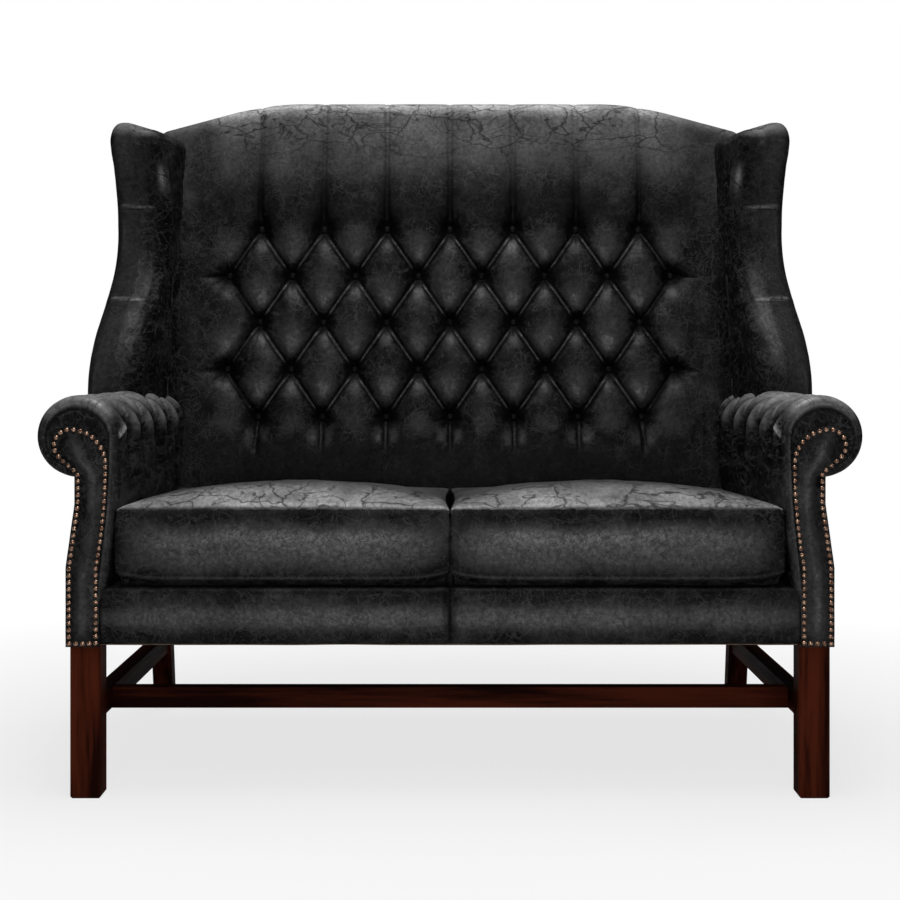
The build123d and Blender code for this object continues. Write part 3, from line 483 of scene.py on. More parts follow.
def woven_material(name, thread, light, dark):
    """Plain woven cloth with threads of one pitch along x and y."""
    material, tree, surface, place = shader(name, 0.9)
    parts = add(tree, "ShaderNodeSeparateXYZ", {0: place}).outputs
    wave = 2 * pi / thread
    warp = maths(tree, "SINE", times(tree, parts["X"], wave))
    weft = maths(tree, "SINE", times(tree, maths(tree, "ADD", parts["Y"], parts["Z"]), wave))
    height = spread(tree, times(tree, warp, weft), -1.0, 1.0)
    fuzz = grain_noise(tree, place, 320.0, 3.0)
    share = times(tree, height, spread(tree, fuzz, 0.25, 0.75, 0.5, 1.0))
    wire(tree, surface, {
        "Base Color": blend_colours(tree, share, dark, light), "Normal": bumps(tree, height, 0.5, 0.0006),
    })
    return material


def foam_material():
    material, tree, surface, place = shader("upholstery_foam", 0.95)
    cells = add(tree, "ShaderNodeTexVoronoi", {"Vector": place, "Scale": 420.0}, feature="F1")
    share = spread(tree, cells.outputs["Distance"], 0.1, 0.6)
    wire(tree, surface, {
        "Base Color": blend_colours(tree, share, (0.34, 0.27, 0.15, 1), (0.66, 0.58, 0.40, 1)),
        "Normal": bumps(tree, share, 0.6, 0.001),
    })
    return material


# Buttoned back


def tuft_rows():
    """Buttons of the back as (u, v)."""
    places = []
    for row in range(TUFT_ROWS):
        count = TUFT_COLUMNS + row % 2
        for k in range(count):
            places.append(((k - (count - 1) / 2) * TUFT, TUFT_FIRST + row * TUFT_ROW))
    return np.array(places)


def zigzag(v):
    """Half width of the buttoned field at a height."""
    inner = (TUFT_COLUMNS - 1) / 2 * TUFT
    turn = np.abs((v - TUFT_FIRST) / TUFT_ROW % 2 - 1)
    field = inner + (1 - turn) * TUFT / 2
    return np.where((v < TUFT_FIRST) | (v > TUFT_LAST), inner, field)


def quilt(u, v, pitch, row, first, last):
    """Buttoned leather: its fullness, 0 in a fold and 1 on a crown, the distance to a fold, how far
    a point lies beyond the buttoned rows, and its place in its diamond.

    Folds run in diamonds between the first and last rows, and straight on from them beyond.
    """
    k = 0.62
    climb = (v - first) / (2 * row)
    p = u / pitch + climb
    q = u / pitch - climb
    cell = (np.floor(p) * 37 + np.floor(q) * 91).astype(int) % 97
    beyond = np.maximum(v - last, first - v)
    uneven = (1 - np.random.default_rng(11).uniform(0.90, 1.0, 97)[cell]) * ramp(0, 0.03, -beyond)
    diamond = np.abs(np.sin(pi * p) * np.sin(pi * q)) ** k * (1 - uneven)
    lean = pitch * row / hypot(pitch / 2, row)
    d_diamond = np.minimum(np.abs(p - np.rint(p)), np.abs(q - np.rint(q))) * lean
    phase = u / pitch + np.where(v > last, (last - first) / (2 * row), 0.0)
    sharp = 2 * k + (0.30 - 2 * k) * ramp(0, 0.055, beyond)
    channel = np.abs(np.sin(pi * phase)) ** sharp
    d_channel = np.abs(phase - np.rint(phase)) * pitch
    full = 1 - (1 - np.where(beyond > 0, channel, diamond)) ** 1.5
    in_p = p - np.floor(p)
    in_q = q - np.floor(q)
    cell_u = pitch / 2 * (in_p + in_q - 1)
    cell_v = row * (in_p - in_q)
    return full, np.where(beyond > 0, d_channel, d_diamond), beyond, (cell_u, cell_v)


def pleat_lines(distance):
    """The two thin grooves beside a fold's tucked edge."""
    return bell(np.abs(distance) - 0.0036, 0.0017)


def pleat_edge_highlight(distance, near):
    """The edge of a fold, between its grooves and away from the buttons, where a highlight is painted."""
    return bell(distance, 0.0022) * ramp(0.012, 0.028, near)


def back_quilting(u, v):
    """Fullness of the back's leather and its fold lines, with plain pleated margins at the sides."""
    full, distance, beyond, cell = quilt(u, v, TUFT, TUFT_ROW, TUFT_FIRST, TUFT_LAST)
    lines = pleat_lines(distance)
    foot = ramp(0.025, 0.085, TUFT_FIRST - v)
    lines = lines * (1 - foot)
    fade = (1 - 0.80 * ramp(0.02, 0.15, beyond)) * (1 - foot)
    full = np.where(beyond > 0, 1 - (1 - full) * fade, full)

    side = np.abs(u)
    edge = (TUFT_COLUMNS - 1) / 2 * TUFT
    margin = side - edge
    soft = 1 - np.exp(-np.maximum(margin, 0) / 0.017)
    past = (beyond > 0) & (margin > 0)
    full = np.where(past, 1 - (1 - soft) * fade, full)
    lines = np.where(past, pleat_lines(margin) * (1 - foot), lines)

    out = side - zigzag(v)
    row_2 = TUFT_FIRST + TUFT_ROW
    away = np.abs((v - row_2) / (2 * TUFT_ROW) - np.rint((v - row_2) / (2 * TUFT_ROW))) * 2 * TUFT_ROW
    pleat = np.sin(pi * np.minimum(away / (2 * TUFT_ROW), 0.5)) ** 0.34
    rise = 1 - np.exp(-np.maximum(out, 0) / 0.017)
    run = 1 - ramp(0.005, 0.050, out)
    border = rise * (1 - (1 - pleat) * (1 - ramp(0, 0.065, out)))
    outside = (beyond <= 0) & (out > 0)
    full = np.where(outside, border, full)
    lines = np.where(outside, np.maximum(pleat_lines(away) * run, pleat_lines(out)), lines)
    return full, lines, beyond, distance, cell


def button_pull(u, v, buttons):
    """How close a point is to its nearest button, and the puckers round that button."""
    near = np.full(u.shape, 9.0)
    angle = np.zeros(u.shape)
    which = np.zeros(u.shape, dtype=int)
    for k, (bu, bv) in enumerate(buttons):
        d = np.hypot(u - bu, v - bv)
        closer = d < near
        near = np.where(closer, d, near)
        angle = np.where(closer, np.arctan2(v - bv, u - bu), angle)
        which = np.where(closer, k, which)
    rng = np.random.default_rng(23)
    turn = rng.uniform(0, 2 * pi, len(buttons))[which]
    count = rng.integers(7, 11, len(buttons))[which]
    pucker = np.abs(np.sin(angle * count / 2 + turn)) ** 0.6
    return near, pucker


def back_half_width(v):
    """Half width of the back: between the wings, then out over them at the crest."""
    depth = BACK_Y + v * sin(RAKE) - CROWN * cos(RAKE)
    inner = WING_X - WING_THICK / cos(WING_SPLAY) + tan(WING_SPLAY) * (WING_PIVOT - depth)
    return inner + 0.006 + (CREST_END - inner - 0.010) * ramp(0.835, 0.880, v)


def build_back(leather):
    buttons = tuft_rows()
    straight = CREST - CREST_ROUND
    v_rows = steps(BACK_FOOT, straight, BACK_MESH)
    t = steps(-1, 1, BACK_MESH / CREST_END)
    arc = CREST_ROUND * pi / 2
    flat = CROWN - CREST_ROUND + BOARD - CREST_REAR_ROUND
    rear_arc = CREST_REAR_ROUND * pi / 2
    over_rows = steps(0, arc + flat + rear_arc + CREST_REAR_DROP, 0.0040)[1:]

    # Path of each column: up the front, over the crest and a little down the back.
    half = back_half_width(v_rows)[:, None]
    u_front = t[None, :] * half
    drop = CREST - crest_height(u_front)
    v_front = v_rows[:, None] - drop * ramp(0.72, straight, v_rows)[:, None]
    u_over = np.broadcast_to(t * back_half_width(np.array(straight)), (len(over_rows), len(t)))
    top = crest_height(u_over)
    s = over_rows[:, None] + 0 * top
    a1 = np.clip(s / CREST_ROUND, 0, pi / 2)
    on_flat = np.clip(s - arc, 0, flat)
    a2 = np.clip((s - arc - flat) / CREST_REAR_ROUND, 0, pi / 2)
    down = np.maximum(s - arc - flat - rear_arc, 0)
    v_over = top - CREST_ROUND + CREST_ROUND * np.sin(a1) - CREST_REAR_ROUND * (1 - np.cos(a2)) - down
    w_over = CROWN - CREST_ROUND * (1 - np.cos(a1)) - on_flat - CREST_REAR_ROUND * np.sin(a2)
    nv_over = np.sin(a1) * np.cos(a2)
    nw_over = np.where(a2 > 0, -np.sin(a2), np.cos(a1))

    u = np.concatenate([u_front, u_over])
    v = np.concatenate([v_front, v_over])
    w = np.concatenate([np.full(v_front.shape, CROWN), w_over])
    nv = np.concatenate([np.zeros(v_front.shape), nv_over])
    nw = np.concatenate([np.ones(v_front.shape), nw_over])
    walk = np.concatenate([v_front, top - CREST_ROUND + s])

    full, lines, beyond, fold, cell = back_quilting(u, walk)
    near, pucker = button_pull(u, walk, buttons)
    pulled = bell(near, 0.0165)
    rays = np.exp(-near / 0.017) * (1 - pucker) * ramp(0.004, 0.012, near)
    creases = 0.5 * ripple(u * 55, walk * 38, 5) + 0.5 * ripple(u * 120 + 9, walk * 95, 6)
    tuck = lines * (1 - pulled) * (1 - 0.35 * ramp(0.0, 0.15, beyond)) * ramp(0.006, 0.016, near)
    inset = FOLD * (1 - full) + DIMPLE * pulled + 0.0042 * rays + 0.0024 * tuck
    inset = inset + 0.00055 * creases * (1 - 0.8 * ramp(0.02, 0.10, beyond))
    calm = 1 - ramp(straight - 0.02, CREST + 0.03, walk) * 0.45
    inset = inset * calm
    side = np.abs(u)
    end = back_half_width(np.array(straight))
    turn = np.clip((side - (end - CREST_SIDE_ROUND)) / CREST_SIDE_ROUND, 0, 1) * ramp(0.84, 0.88, v)
    inset = inset + CREST_SIDE_ROUND * (1 - np.sqrt(np.maximum(1 - turn**2, 0)))
    below = walk - crest_height(u) + CREST_ROUND
    hang = 0.30 * (1 - ramp(-0.10, 0.0, below)) * ramp(0.2, 0.3, v)
    sag = hang * (FOLD + DIMPLE - np.minimum(inset, FOLD + DIMPLE))
    gap = np.clip(1 - (np.concatenate([half + 0 * u_front, end + 0 * u_over]) - side) / COVE, 0, 1)
    cove = COVE * (1 - np.sqrt(1 - gap**2)) * (1 - ramp(0.58, 0.86, walk))
    front = back_point(u, v - nv * inset - sag, w - nw * inset + cove)

    # Painted light and shade in the back's wear: darker round the buttons, in their puckers and folds,
    # beside the upper channels, below the lowest row and towards the wings; painted highlights on the
    # crowns, the lower bellies, under the buttons, on the fold edges and under the lowest row's buttons;
    # the field above the top row lighter towards the crest.
    button_shade = bell(near, 0.027)
    uneven = 0.03 * ripple(u * 21, walk * 17, 9)
    above = walk - TUFT_LAST
    under = TUFT_FIRST - walk
    belly_highlight = bell(cell[1] + 0.032, 0.036) * bell(cell[0], 0.032)
    brow_highlight = bell(cell[1] - 0.062, 0.014) * bell(cell[0], 0.015)
    in_field = 1 - ramp(-0.01, 0.04, beyond)
    wear_and_painted_shading = in_field * (0.08 * full + 0.58 * belly_highlight + 0.36 * brow_highlight)
    wear_and_painted_shading = wear_and_painted_shading + 0.44 * ramp(0.06, 0.22, above + uneven) - 0.14 * bell(above - 0.045, 0.035)
    wear_and_painted_shading = wear_and_painted_shading - 0.24 * bell(fold, 0.020) * ramp(0.02, 0.06, above) * (1 - ramp(-0.05, 0.0, below))
    wear_and_painted_shading = wear_and_painted_shading - 0.34 * ramp(0.02, 0.08, under)
    wear_and_painted_shading = wear_and_painted_shading - 0.22 * ramp(0.45, 0.52, side) * (1 - ramp(0.66, 0.82, walk))
    wear_and_painted_shading = wear_and_painted_shading + 0.62 * bell(fold - 0.014, 0.010) * bell(under - 0.030, 0.018)
    wear_and_painted_shading = wear_and_painted_shading + 0.10 * ripple(u * 9, walk * 9, 7) + 0.12 * ripple(u * 34, walk * 34, 12)
    in_diamonds = (beyond <= 0) & (side <= zigzag(walk) + 0.001)
    wear_and_painted_shading = wear_and_painted_shading - 0.5 * button_shade - 0.4 * rays - 0.5 * tuck + 0.8 * pleat_edge_highlight(fold, near) * in_diamonds
    wear_and_painted_shading = wear_and_painted_shading * (1 - 0.95 * ramp(0.425, 0.490, side + 0.012 * ripple(u * 30, walk * 14, 10)))
    # Painted top light in the rub: the crest lighter where it faces up and in the band below it, darker
    # towards the sides.
    rub_and_painted_highlight = ramp(0.25, 0.95, nv) + 0.34 * ramp(-0.15, 0.02, below)
    rub_and_painted_highlight = rub_and_painted_highlight * np.clip(0.8 + 0.35 * ripple(u * 16, walk * 12, 8), 0, 1)
    rub_and_painted_highlight = rub_and_painted_highlight * (1 - 0.7 * ramp(0.41, 0.49, side))
    body = (front, np.clip(wear_and_painted_shading, -0.4, 1), np.clip(rub_and_painted_highlight, 0, 1))

    walls = []
    for column in (0, -1):
        edge = front[:, column]
        inward = back_point(u[:, column], np.minimum(v[:, column], CREST - 0.09), np.full(len(u), -0.004))
        share = np.linspace(0, 1, 5)[None, :, None]
        walls.append(plain(edge[:, None, :] * (1 - share) + inward[:, None, :] * share, 0.2))
    piece = make_piece("back_upholstery", [body] + walls, leather, ["back_cover"])


def dome_patch(centre, out, radius, height, turn=0.0):
    """Covered button: a dome on a short skirt, facing along out."""
    out = np.array(out) / np.linalg.norm(out)
    side = np.cross(out, [0.0, 0.0, 1.0])
    side = side / np.linalg.norm(side)
    up = np.cross(side, out)
    profile = (
        (0.0, 1.0), (0.30, 0.97), (0.55, 0.86), (0.78, 0.66), (0.93, 0.40), (1.0, 0.16), (0.98, -0.25),
    )
    angles = np.linspace(0, 2 * pi, 25) + turn
    rows = []
    for r, h in profile:
        wobble = 1 + 0.025 * np.sin(angles * 7 + turn) * (1 if 0.2 < r < 1.0 else 0)
        ring = np.outer(np.cos(angles) * radius * r * wobble, side)
        ring = ring + np.outer(np.sin(angles) * radius * r * wobble, up)
        rows.append(np.array(centre) + ring + out * height * h)
    # Painted shade: the buttons are coloured darker than the leather round them, for the shade in their
    # pits.
    wear_and_painted_shading = np.full((len(profile), len(angles)), -0.35)
    return np.array(rows), wear_and_painted_shading, np.zeros_like(wear_and_painted_shading)


def build_back_buttons(leather):
    floor = CROWN - FOLD - DIMPLE
    out = (0, -cos(RAKE), sin(RAKE))
    patches = []
    for k, (u, v) in enumerate(tuft_rows()):
        centre = back_point(u, v, floor + 0.001)
        patches.append(dome_patch(centre, out, BUTTON * 1.02, BUTTON_RISE, 0.7 * k))
    make_piece("back_button_set", patches, leather, ["back_buttons"])


# Arms


def arm_profile(foot):
    """Right arm's inside face and roll as x, z, outward normals and distance along."""
    z_face = np.linspace(foot, ROLL_Z, 90)
    x_face = SEAT_HALF + FOOT_SPREAD * ((ROLL_Z - z_face) / (ROLL_Z - ARM_FOOT)) ** 2
    last = -atan2(sqrt(ROLL**2 - (NECK_X - ROLL_X) ** 2), NECK_X - ROLL_X)
    angles = np.linspace(pi, last, 120)[1:]
    x = np.concatenate([x_face, ROLL_X + ROLL * np.cos(angles)])
    z = np.concatenate([z_face, ROLL_Z + ROLL * np.sin(angles)])
    along = np.concatenate([[0], np.cumsum(np.hypot(np.diff(x), np.diff(z)))])
    even = steps(0, along[-1], 0.0025)
    x = np.interp(even, along, x)
    z = np.interp(even, along, z)
    angle = np.where(on_inside_face(x, z), pi, np.arctan2(z - ROLL_Z, x - ROLL_X))
    dx = np.gradient(x)
    dz = np.gradient(z)
    size = np.hypot(dx, dz)
    return x, z, -dz / size, dx / size, even, angle


def on_inside_face(x, z):
    """Whether a point of the profile is on the inside face, under the roll."""
    return (z < ROLL_Z) & (x < SEAT_HALF + FOOT_SPREAD + 0.012)


def facing_inner(z, grow):
    """Inner side of the facing at a height, grown outwards from the line of the nails."""
    low = np.clip((SWEEP_Z - z) / (SWEEP_Z - FLARE_LOW), 0, 1)
    stem = EYE_X - SWEEP_R + (FOOT_IN - EYE_X + SWEEP_R) * low ** 2
    reach = SWEEP_R + grow
    high = np.clip(z - SWEEP_Z, 0, reach)
    curve = EYE_X - np.sqrt(reach**2 - high**2)
    return np.where(z > SWEEP_Z, curve, stem - grow)


def facing_outer(z, grow):
    """Outer side of the facing at a height."""
    eye = EYE_R + grow
    end_z = EYE_Z + eye * sin(FACING_TURN)
    end_x = EYE_X + eye * cos(FACING_TURN)
    waist = NECK_X - NAIL_EDGE + grow
    neck_z = end_z - (end_x - waist) * tan(radians(40))
    curve = EYE_X + np.sqrt(np.maximum(eye**2 - (z - EYE_Z) ** 2, 0))
    lean = waist + (end_x - waist) * np.clip((z - neck_z) / (end_z - neck_z), 0, 1)
    flare = waist + (FOOT_OUT + grow - waist) * np.clip((FLARE_TOP - z) / (FLARE_TOP - FLARE_LOW), 0, 1)
    return np.where(z > end_z, curve, np.where(z > neck_z, lean, flare))


def ring_target(z, angle, on_face):
    """Where each line of the roll's front band tucks in behind the facing."""
    grow = 0.0025
    face_z = ARM_FOOT + (z - ARM_FOOT) * (SWEEP_Z - ARM_FOOT) / (ROLL_Z - ARM_FOOT)
    face_x = facing_inner(np.minimum(face_z, SWEEP_Z), grow)
    top = pi / 2
    sweep_x = EYE_X + (SWEEP_R + grow) * np.cos(angle)
    sweep_z = SWEEP_Z + (SWEEP_R + grow) * np.sin(angle)
    low = np.min(angle)
    eye_turn = FACING_TURN + (top - FACING_TURN) * np.clip((angle - low) / (top - low), 0, 1)
    eye_x = EYE_X + (EYE_R + grow) * np.cos(eye_turn)
    eye_z = EYE_Z + (EYE_R + grow) * np.sin(eye_turn)
    roll_x = np.where(angle > top, sweep_x, eye_x)
    roll_z = np.where(angle > top, sweep_z, eye_z)
    return np.where(on_face, face_x, roll_x), np.where(on_face, face_z, roll_z)


def arm_folds(along, y, tangent):
    """Inset of the arm's leather: two rows of tufts over the roll, and slack down the inside."""
    up = along - tangent + 0 * y
    out = y - PLEAT_FIRST + 0 * up
    inside = ramp(0.035, 0.075, y) * (1 - ramp(0.53, 0.58, y))
    full, distance, beyond, _ = quilt(out, up, PLEAT, ARM_ROW, 0.0, ARM_ROW)
    high = up > ARM_ROW
    fade = np.where(high, 1 - ramp(0.02, 0.16, beyond), 1 - ramp(0.01, 0.11, beyond))
    fade = np.where(beyond > 0, fade, 1.0) * inside
    valley = (1 - full) * fade
    lines = pleat_lines(distance) * fade
    pulled = np.zeros(up.shape)
    rays = np.zeros(up.shape)
    for row in range(2):
        for k in range(PLEATS):
            dy = out - (k - 0.5 * row) * PLEAT
            ds = up - row * ARM_ROW
            d = np.hypot(dy, ds)
            pulled = np.maximum(pulled, bell(d, 0.014))
            ray = np.abs(np.sin(np.arctan2(ds, dy) * 4.5 + k)) ** 0.6
            rays = np.maximum(rays, np.exp(-d / 0.016) * (1 - ray) * ramp(0.004, 0.012, d))
    slack = 0.0010 * ripple(y * 18 + 3, along * 7, 31)
    slack = slack * ramp(-0.26, -0.06, up) * (1 - ramp(-0.02, 0.04, up))
    slack = slack + 0.0010 * ripple(y * 60, along * 22, 32)
    inset = ARM_FOLD * valley + 0.0022 * lines + 0.0055 * pulled * inside + 0.0035 * rays * inside + slack
    line = up + 0.004 - 0.24 * y
    near_front = 1 - ramp(0.050, 0.085, y)
    gather = bell(line, 0.0052) * near_front
    inset = inset - 0.0040 * gather + 0.0036 * bell(line + 0.0075, 0.0030) * near_front
    # Painted highlights: the gathered pleat at the front and the tuft crowns on the roll are coloured
    # lighter.
    crowns = full**4 * inside * ramp(-0.015, 0.045, up) * (1 - ramp(0.06, 0.11, up))
    shine = np.clip(gather + 0.75 * crowns, 0, 1)
    return inset, np.clip(valley + 0.6 * lines, 0, 1), pulled * inside, shine


def arm_patches():
    x, z, nx, nz, along, angle = arm_profile(ARM_FOOT - 0.010)
    on_face = on_inside_face(x, z)
    tangent = along[np.argmin(np.abs(z - ROLL_Z) + 9 * (x > SEAT_HALF + 0.01))]
    in_x, in_z = ring_target(z, angle, on_face)

    band = np.linspace(0, 1, 17)[:-1][:, None]
    edge_x = x - nx * FRONT_ROUND
    edge_z = z - nz * FRONT_ROUND
    ring_x = in_x + (edge_x - in_x) * band
    ring_z = in_z + (edge_z - in_z) * band
    groove = bell(band - 0.80, 0.07)
    ring_y = 0.0045 - 0.0060 * np.sin(pi * np.clip(band * 0.6 + 0.05, 0, 1)) + 0.0022 * groove + 0 * ring_x

    turn = np.linspace(0, pi / 2, 8)[:, None]
    lip = FRONT_ROUND * (1 - np.sin(turn))
    round_x = x - nx * lip
    round_z = z - nz * lip
    round_y = FRONT_ROUND * (1 - np.cos(turn)) - ARM_PROUD + 0 * round_x

    ends = back_depth(z, ARM_END)
    share = steps(0, 1, 0.0025 / 0.68)[1:][:, None]
    length_y = FRONT_ROUND - ARM_PROUD + share * (ends - FRONT_ROUND)
    inset, crease, pulled, shine = arm_folds(along[None, :], length_y, tangent)
    seam_y = 0.026
    seam = bell(length_y - seam_y, 0.0022)
    inset = inset + 0.0028 * seam - 0.0012 * bell(length_y - seam_y + 0.005, 0.003)
    long_x = x - nx * inset
    long_z = z - nz * inset

    all_x = np.concatenate([ring_x, round_x, long_x])
    all_y = np.concatenate([ring_y, round_y, length_y])
    all_z = np.concatenate([ring_z, round_z, long_z])
    points = stack(all_x - toe(all_y), FRONT + all_y, all_z)
    # Painted light and shade in rub and wear: the roll lighter where it faces up, as if lit from above; the
    # front band darker and its groove darker still; the rounded front edge lighter, with a lit line down
    # the inside face; the creases, buttons and seam darker; the shine lighter.
    up = np.clip(nz, 0, 1)[None, :]
    noise_rows = ripple(all_y * 24, along[None, :] * 14, 33)
    rub_and_painted_highlight = ramp(0.35, 0.95, up) * np.clip(0.75 + 0.5 * noise_rows, 0, 1)
    rub_and_painted_highlight = np.broadcast_to(rub_and_painted_highlight, all_x.shape).copy()
    ring = len(ring_x)
    head = ring + len(round_x)
    rub_and_painted_highlight[:ring] *= 0.60 * ramp(0.80, 1.0, band)
    rub_and_painted_highlight[ring:head] *= 0.55 + 0.45 * np.sin(turn)
    rub_and_painted_highlight[head:] = np.maximum(rub_and_painted_highlight[head:], shine) * (1 - 0.8 * np.clip(crease + pulled + seam, 0, 1))
    wear_and_painted_shading = np.full(all_x.shape, 0.06) + 0.12 * noise_rows + 0.45 * up
    wear_and_painted_shading[:ring] = -0.10 + 0.12 * noise_rows[:ring] - 0.3 * groove + 0.5 * up * ramp(0.85, 1.0, band)
    wear_and_painted_shading[ring:head] += 0.25 * on_face + 0.35 * up
    wear_and_painted_shading[head:] += 0.6 * shine - 0.4 * np.clip(crease + pulled, 0, 1)
    body = (points, np.clip(wear_and_painted_shading, -0.35, 1), np.clip(rub_and_painted_highlight, 0, 1))

    spine_x = np.clip(x, ROLL_X - 0.006, ROLL_X + 0.004)
    spine_z = np.where(z > ROLL_Z, ROLL_Z, z)
    close = np.linspace(0, 1, 6)[:, None]
    cap_x = x - nx * inset[-1] + (spine_x - x) * close
    cap_z = z - nz * inset[-1] + (spine_z - z) * close
    cap_y = back_depth(cap_z, ARM_END) + 0 * cap_x
    cap_y[0] = length_y[-1]
    cap = plain(stack(cap_x - toe(cap_y), FRONT + cap_y, cap_z), 0.2)
    return [body, cap]


def arm_button_patches():
    patches = []
    for k in range(PLEATS):
        y = PLEAT_FIRST + k * PLEAT
        centre = (SEAT_HALF - toe(y) + 0.0125, FRONT + y, ROLL_Z)
        patches.append(dome_patch(centre, (-1, 0, 0), ARM_BUTTON * 1.05, ARM_BUTTON_RISE, 0.9 * k))
    return patches


def facing_patches():
    """Scroll-shaped facing: padded face, rounded edge and a flat rear."""
    top = SWEEP_Z + SWEEP_R + NAIL_EDGE
    z = np.linspace(FACING_FOOT, top - 0.0004, int(110 / COARSE))
    tip = np.linspace(0, 1, 14)[1:]
    z = np.concatenate([z[z < top - 0.006], top - 0.006 * (1 - tip) ** 2 - 0.0004])
    left = facing_inner(z, NAIL_EDGE)
    right = facing_outer(z, NAIL_EDGE)
    t = np.linspace(0, 1, int(36 / COARSE))[None, :]
    x = left[:, None] + (right - left)[:, None] * t
    zz = np.broadcast_to(z[:, None], x.shape)
    rim = np.minimum(x - left[:, None], right[:, None] - x)
    rim = np.minimum(rim, np.minimum(zz - FACING_FOOT, top - zz))
    swell = np.sqrt(np.clip(rim / 0.020, 0, 1))
    tack = bell(rim - NAIL_EDGE, 0.003) * 0.0008
    fuller = 0.35 + 0.65 * np.minimum(bell(zz - 0.520, 0.050) + bell(zz - 0.300, 0.055), 1)
    ridge = 0.0021 * fuller * bell(x - (left + right)[:, None] / 2 - 0.004 * np.sin(zz * 26), 0.011)
    slack = 0.0005 * ripple(x * 90, zz * 60, 41)
    bulge = 0.0030 * ramp(0.004, 0.022, rim) + ridge * ramp(0.01, 0.02, rim) + slack - tack
    y = 0.0002 + 0.0010 * (1 - swell) - bulge
    face = stack(x, FRONT + y, zz)
    # Painted highlight: the padded ridge down the facing's middle is coloured lighter.
    wear_and_painted_shading = np.clip(0.06 + 300 * ridge + 0.18 * ripple(x * 40, zz * 25, 42), 0, 1)
    patches = [(face, wear_and_painted_shading, np.zeros_like(wear_and_painted_shading))]
    rear = face.copy()
    rear[..., 1] = FRONT + FACING_DEEP
    depth = np.linspace(0, 1, 4)[:, None, None]
    for edge in (np.s_[:, 0], np.s_[:, -1], np.s_[0], np.s_[-1]):
        patches.append(plain(face[edge] * (1 - depth) + rear[edge] * depth, 0.2))
    patches.append(plain(rear, 0.1))
    return patches


def outside_arm_patches():
    """Outside panel under the roll: a thin stretched sheet, bowed a little."""
    neck = ROLL_Z - sqrt(ROLL**2 - (NECK_X - ROLL_X) ** 2)
    foot, start, rear = 0.2425, 0.0082, -0.0285      # the panel's lowest, front and rear ends
    z = steps(foot, neck + 0.004, 0.006)
    share = ramp(FLARE_TOP, FLARE_LOW, z)
    x = NECK_X + (STEM_X - NECK_X) * share
    t = steps(0, 1, 0.008 / 0.65)[:, None]
    length = back_depth(z, rear) - start
    y = start + t * length
    slack = 0.0007 * ripple(y * 9, z * 14, 51) + 0.0004 * ripple(y * 40, z * 30, 52)
    hem = 0.0016 * bell(z - foot, 0.006) + 0.0012 * bell(y - start, 0.006)
    over_post = np.maximum(POST_X - x + toe(y), 0) * ramp(0.560, 0.640, y)
    outer = stack(x - 0.0004 - toe(y) - hem + slack + over_post, FRONT + y, z)
    inner = outer - np.array([PANEL, 0, 0])
    wear_and_painted_shading = np.clip(0.28 + 0.25 * ripple(y * 12, z * 16, 53), 0, 1)
    patches = [(outer, wear_and_painted_shading, 0 * wear_and_painted_shading), (inner, wear_and_painted_shading, 0 * wear_and_painted_shading)] + walled(outer, inner)
    flat = (float(back_depth(0.37, rear) - start), float(z[-1] - z[0]))
    size = (np.hypot(np.diff(x), np.diff(z)) * length[1:]).sum()
    return patches, flat, float(size)


def build_arms(leather, arm_leather):
    cover = arm_patches()
    buttons = arm_button_patches()
    facing = facing_patches()
    panel, flat, size = outside_arm_patches()
    for hand in HANDS:
        def one(name, patches, node, skin=leather):
            return make_piece(
                f"{name}_{hand}", handed(patches, hand), skin, [f"{node}_{hand}"]
            )

        one("arm_upholstery", cover, "arm_cover", arm_leather)
        one("arm_button_set", buttons, "arm_buttons")
        one("arm_facing_pad", facing, "arm_facing")
        outside = one("outside_arm_panel", panel, "outside_arm")


# Wings


def wing_front_line(z):
    """Depth of the wing's front edge at a height, as a smooth curve through its points."""
    knots_z = np.array([p[1] for p in WING_FRONT[:-1]])
    knots_y = np.array([p[0] for p in WING_FRONT[:-1]])
    slopes = np.gradient(knots_y, knots_z)
    slopes[0] = slopes[1] = 0.0
    slopes[-1] = 0.0
    k = np.clip(np.searchsorted(knots_z, z) - 1, 0, len(knots_z) - 2)
    span = knots_z[k + 1] - knots_z[k]
    t = np.clip((z - knots_z[k]) / span, 0, 1)
    h00 = 2 * t**3 - 3 * t**2 + 1
    h10 = t**3 - 2 * t**2 + t
    h01 = -2 * t**3 + 3 * t**2
    h11 = t**3 - t**2
    y = h00 * knots_y[k] + h10 * span * slopes[k] + h01 * knots_y[k + 1] + h11 * span * slopes[k + 1]
    ear_y, ear_z = WING_FRONT[-2]
    top_y, top_z = WING_FRONT[-1]
    high = np.clip((z - ear_z) / (top_z - ear_z), 0, 1)
    return y + (top_y - ear_y + 0.030) * (1 - np.sqrt(1 - high**2)) * (z > ear_z)


def wing_edges(z):
    """Outer and inner side of the wing at a height, in from its outside face; the top slopes inwards."""
    lip = np.clip((z - WING_TOP + WING_LIP) / WING_LIP, 0, 1)
    outer = WING_LIP * (1 - np.sqrt(1 - lip**2))
    turn = np.clip((z - WING_TOP + WING_SLOPE + WING_TURN) / WING_TURN, 0, 1)
    inner = WING_THICK - WING_TURN + WING_TURN * np.sqrt(1 - turn**2)
    slope = np.clip((WING_TOP - z) / WING_SLOPE, 0, 1)
    tip = WING_LIP + 0.002
    return outer, np.where(slope < 1, tip + slope * (WING_THICK - WING_TURN - tip), inner)


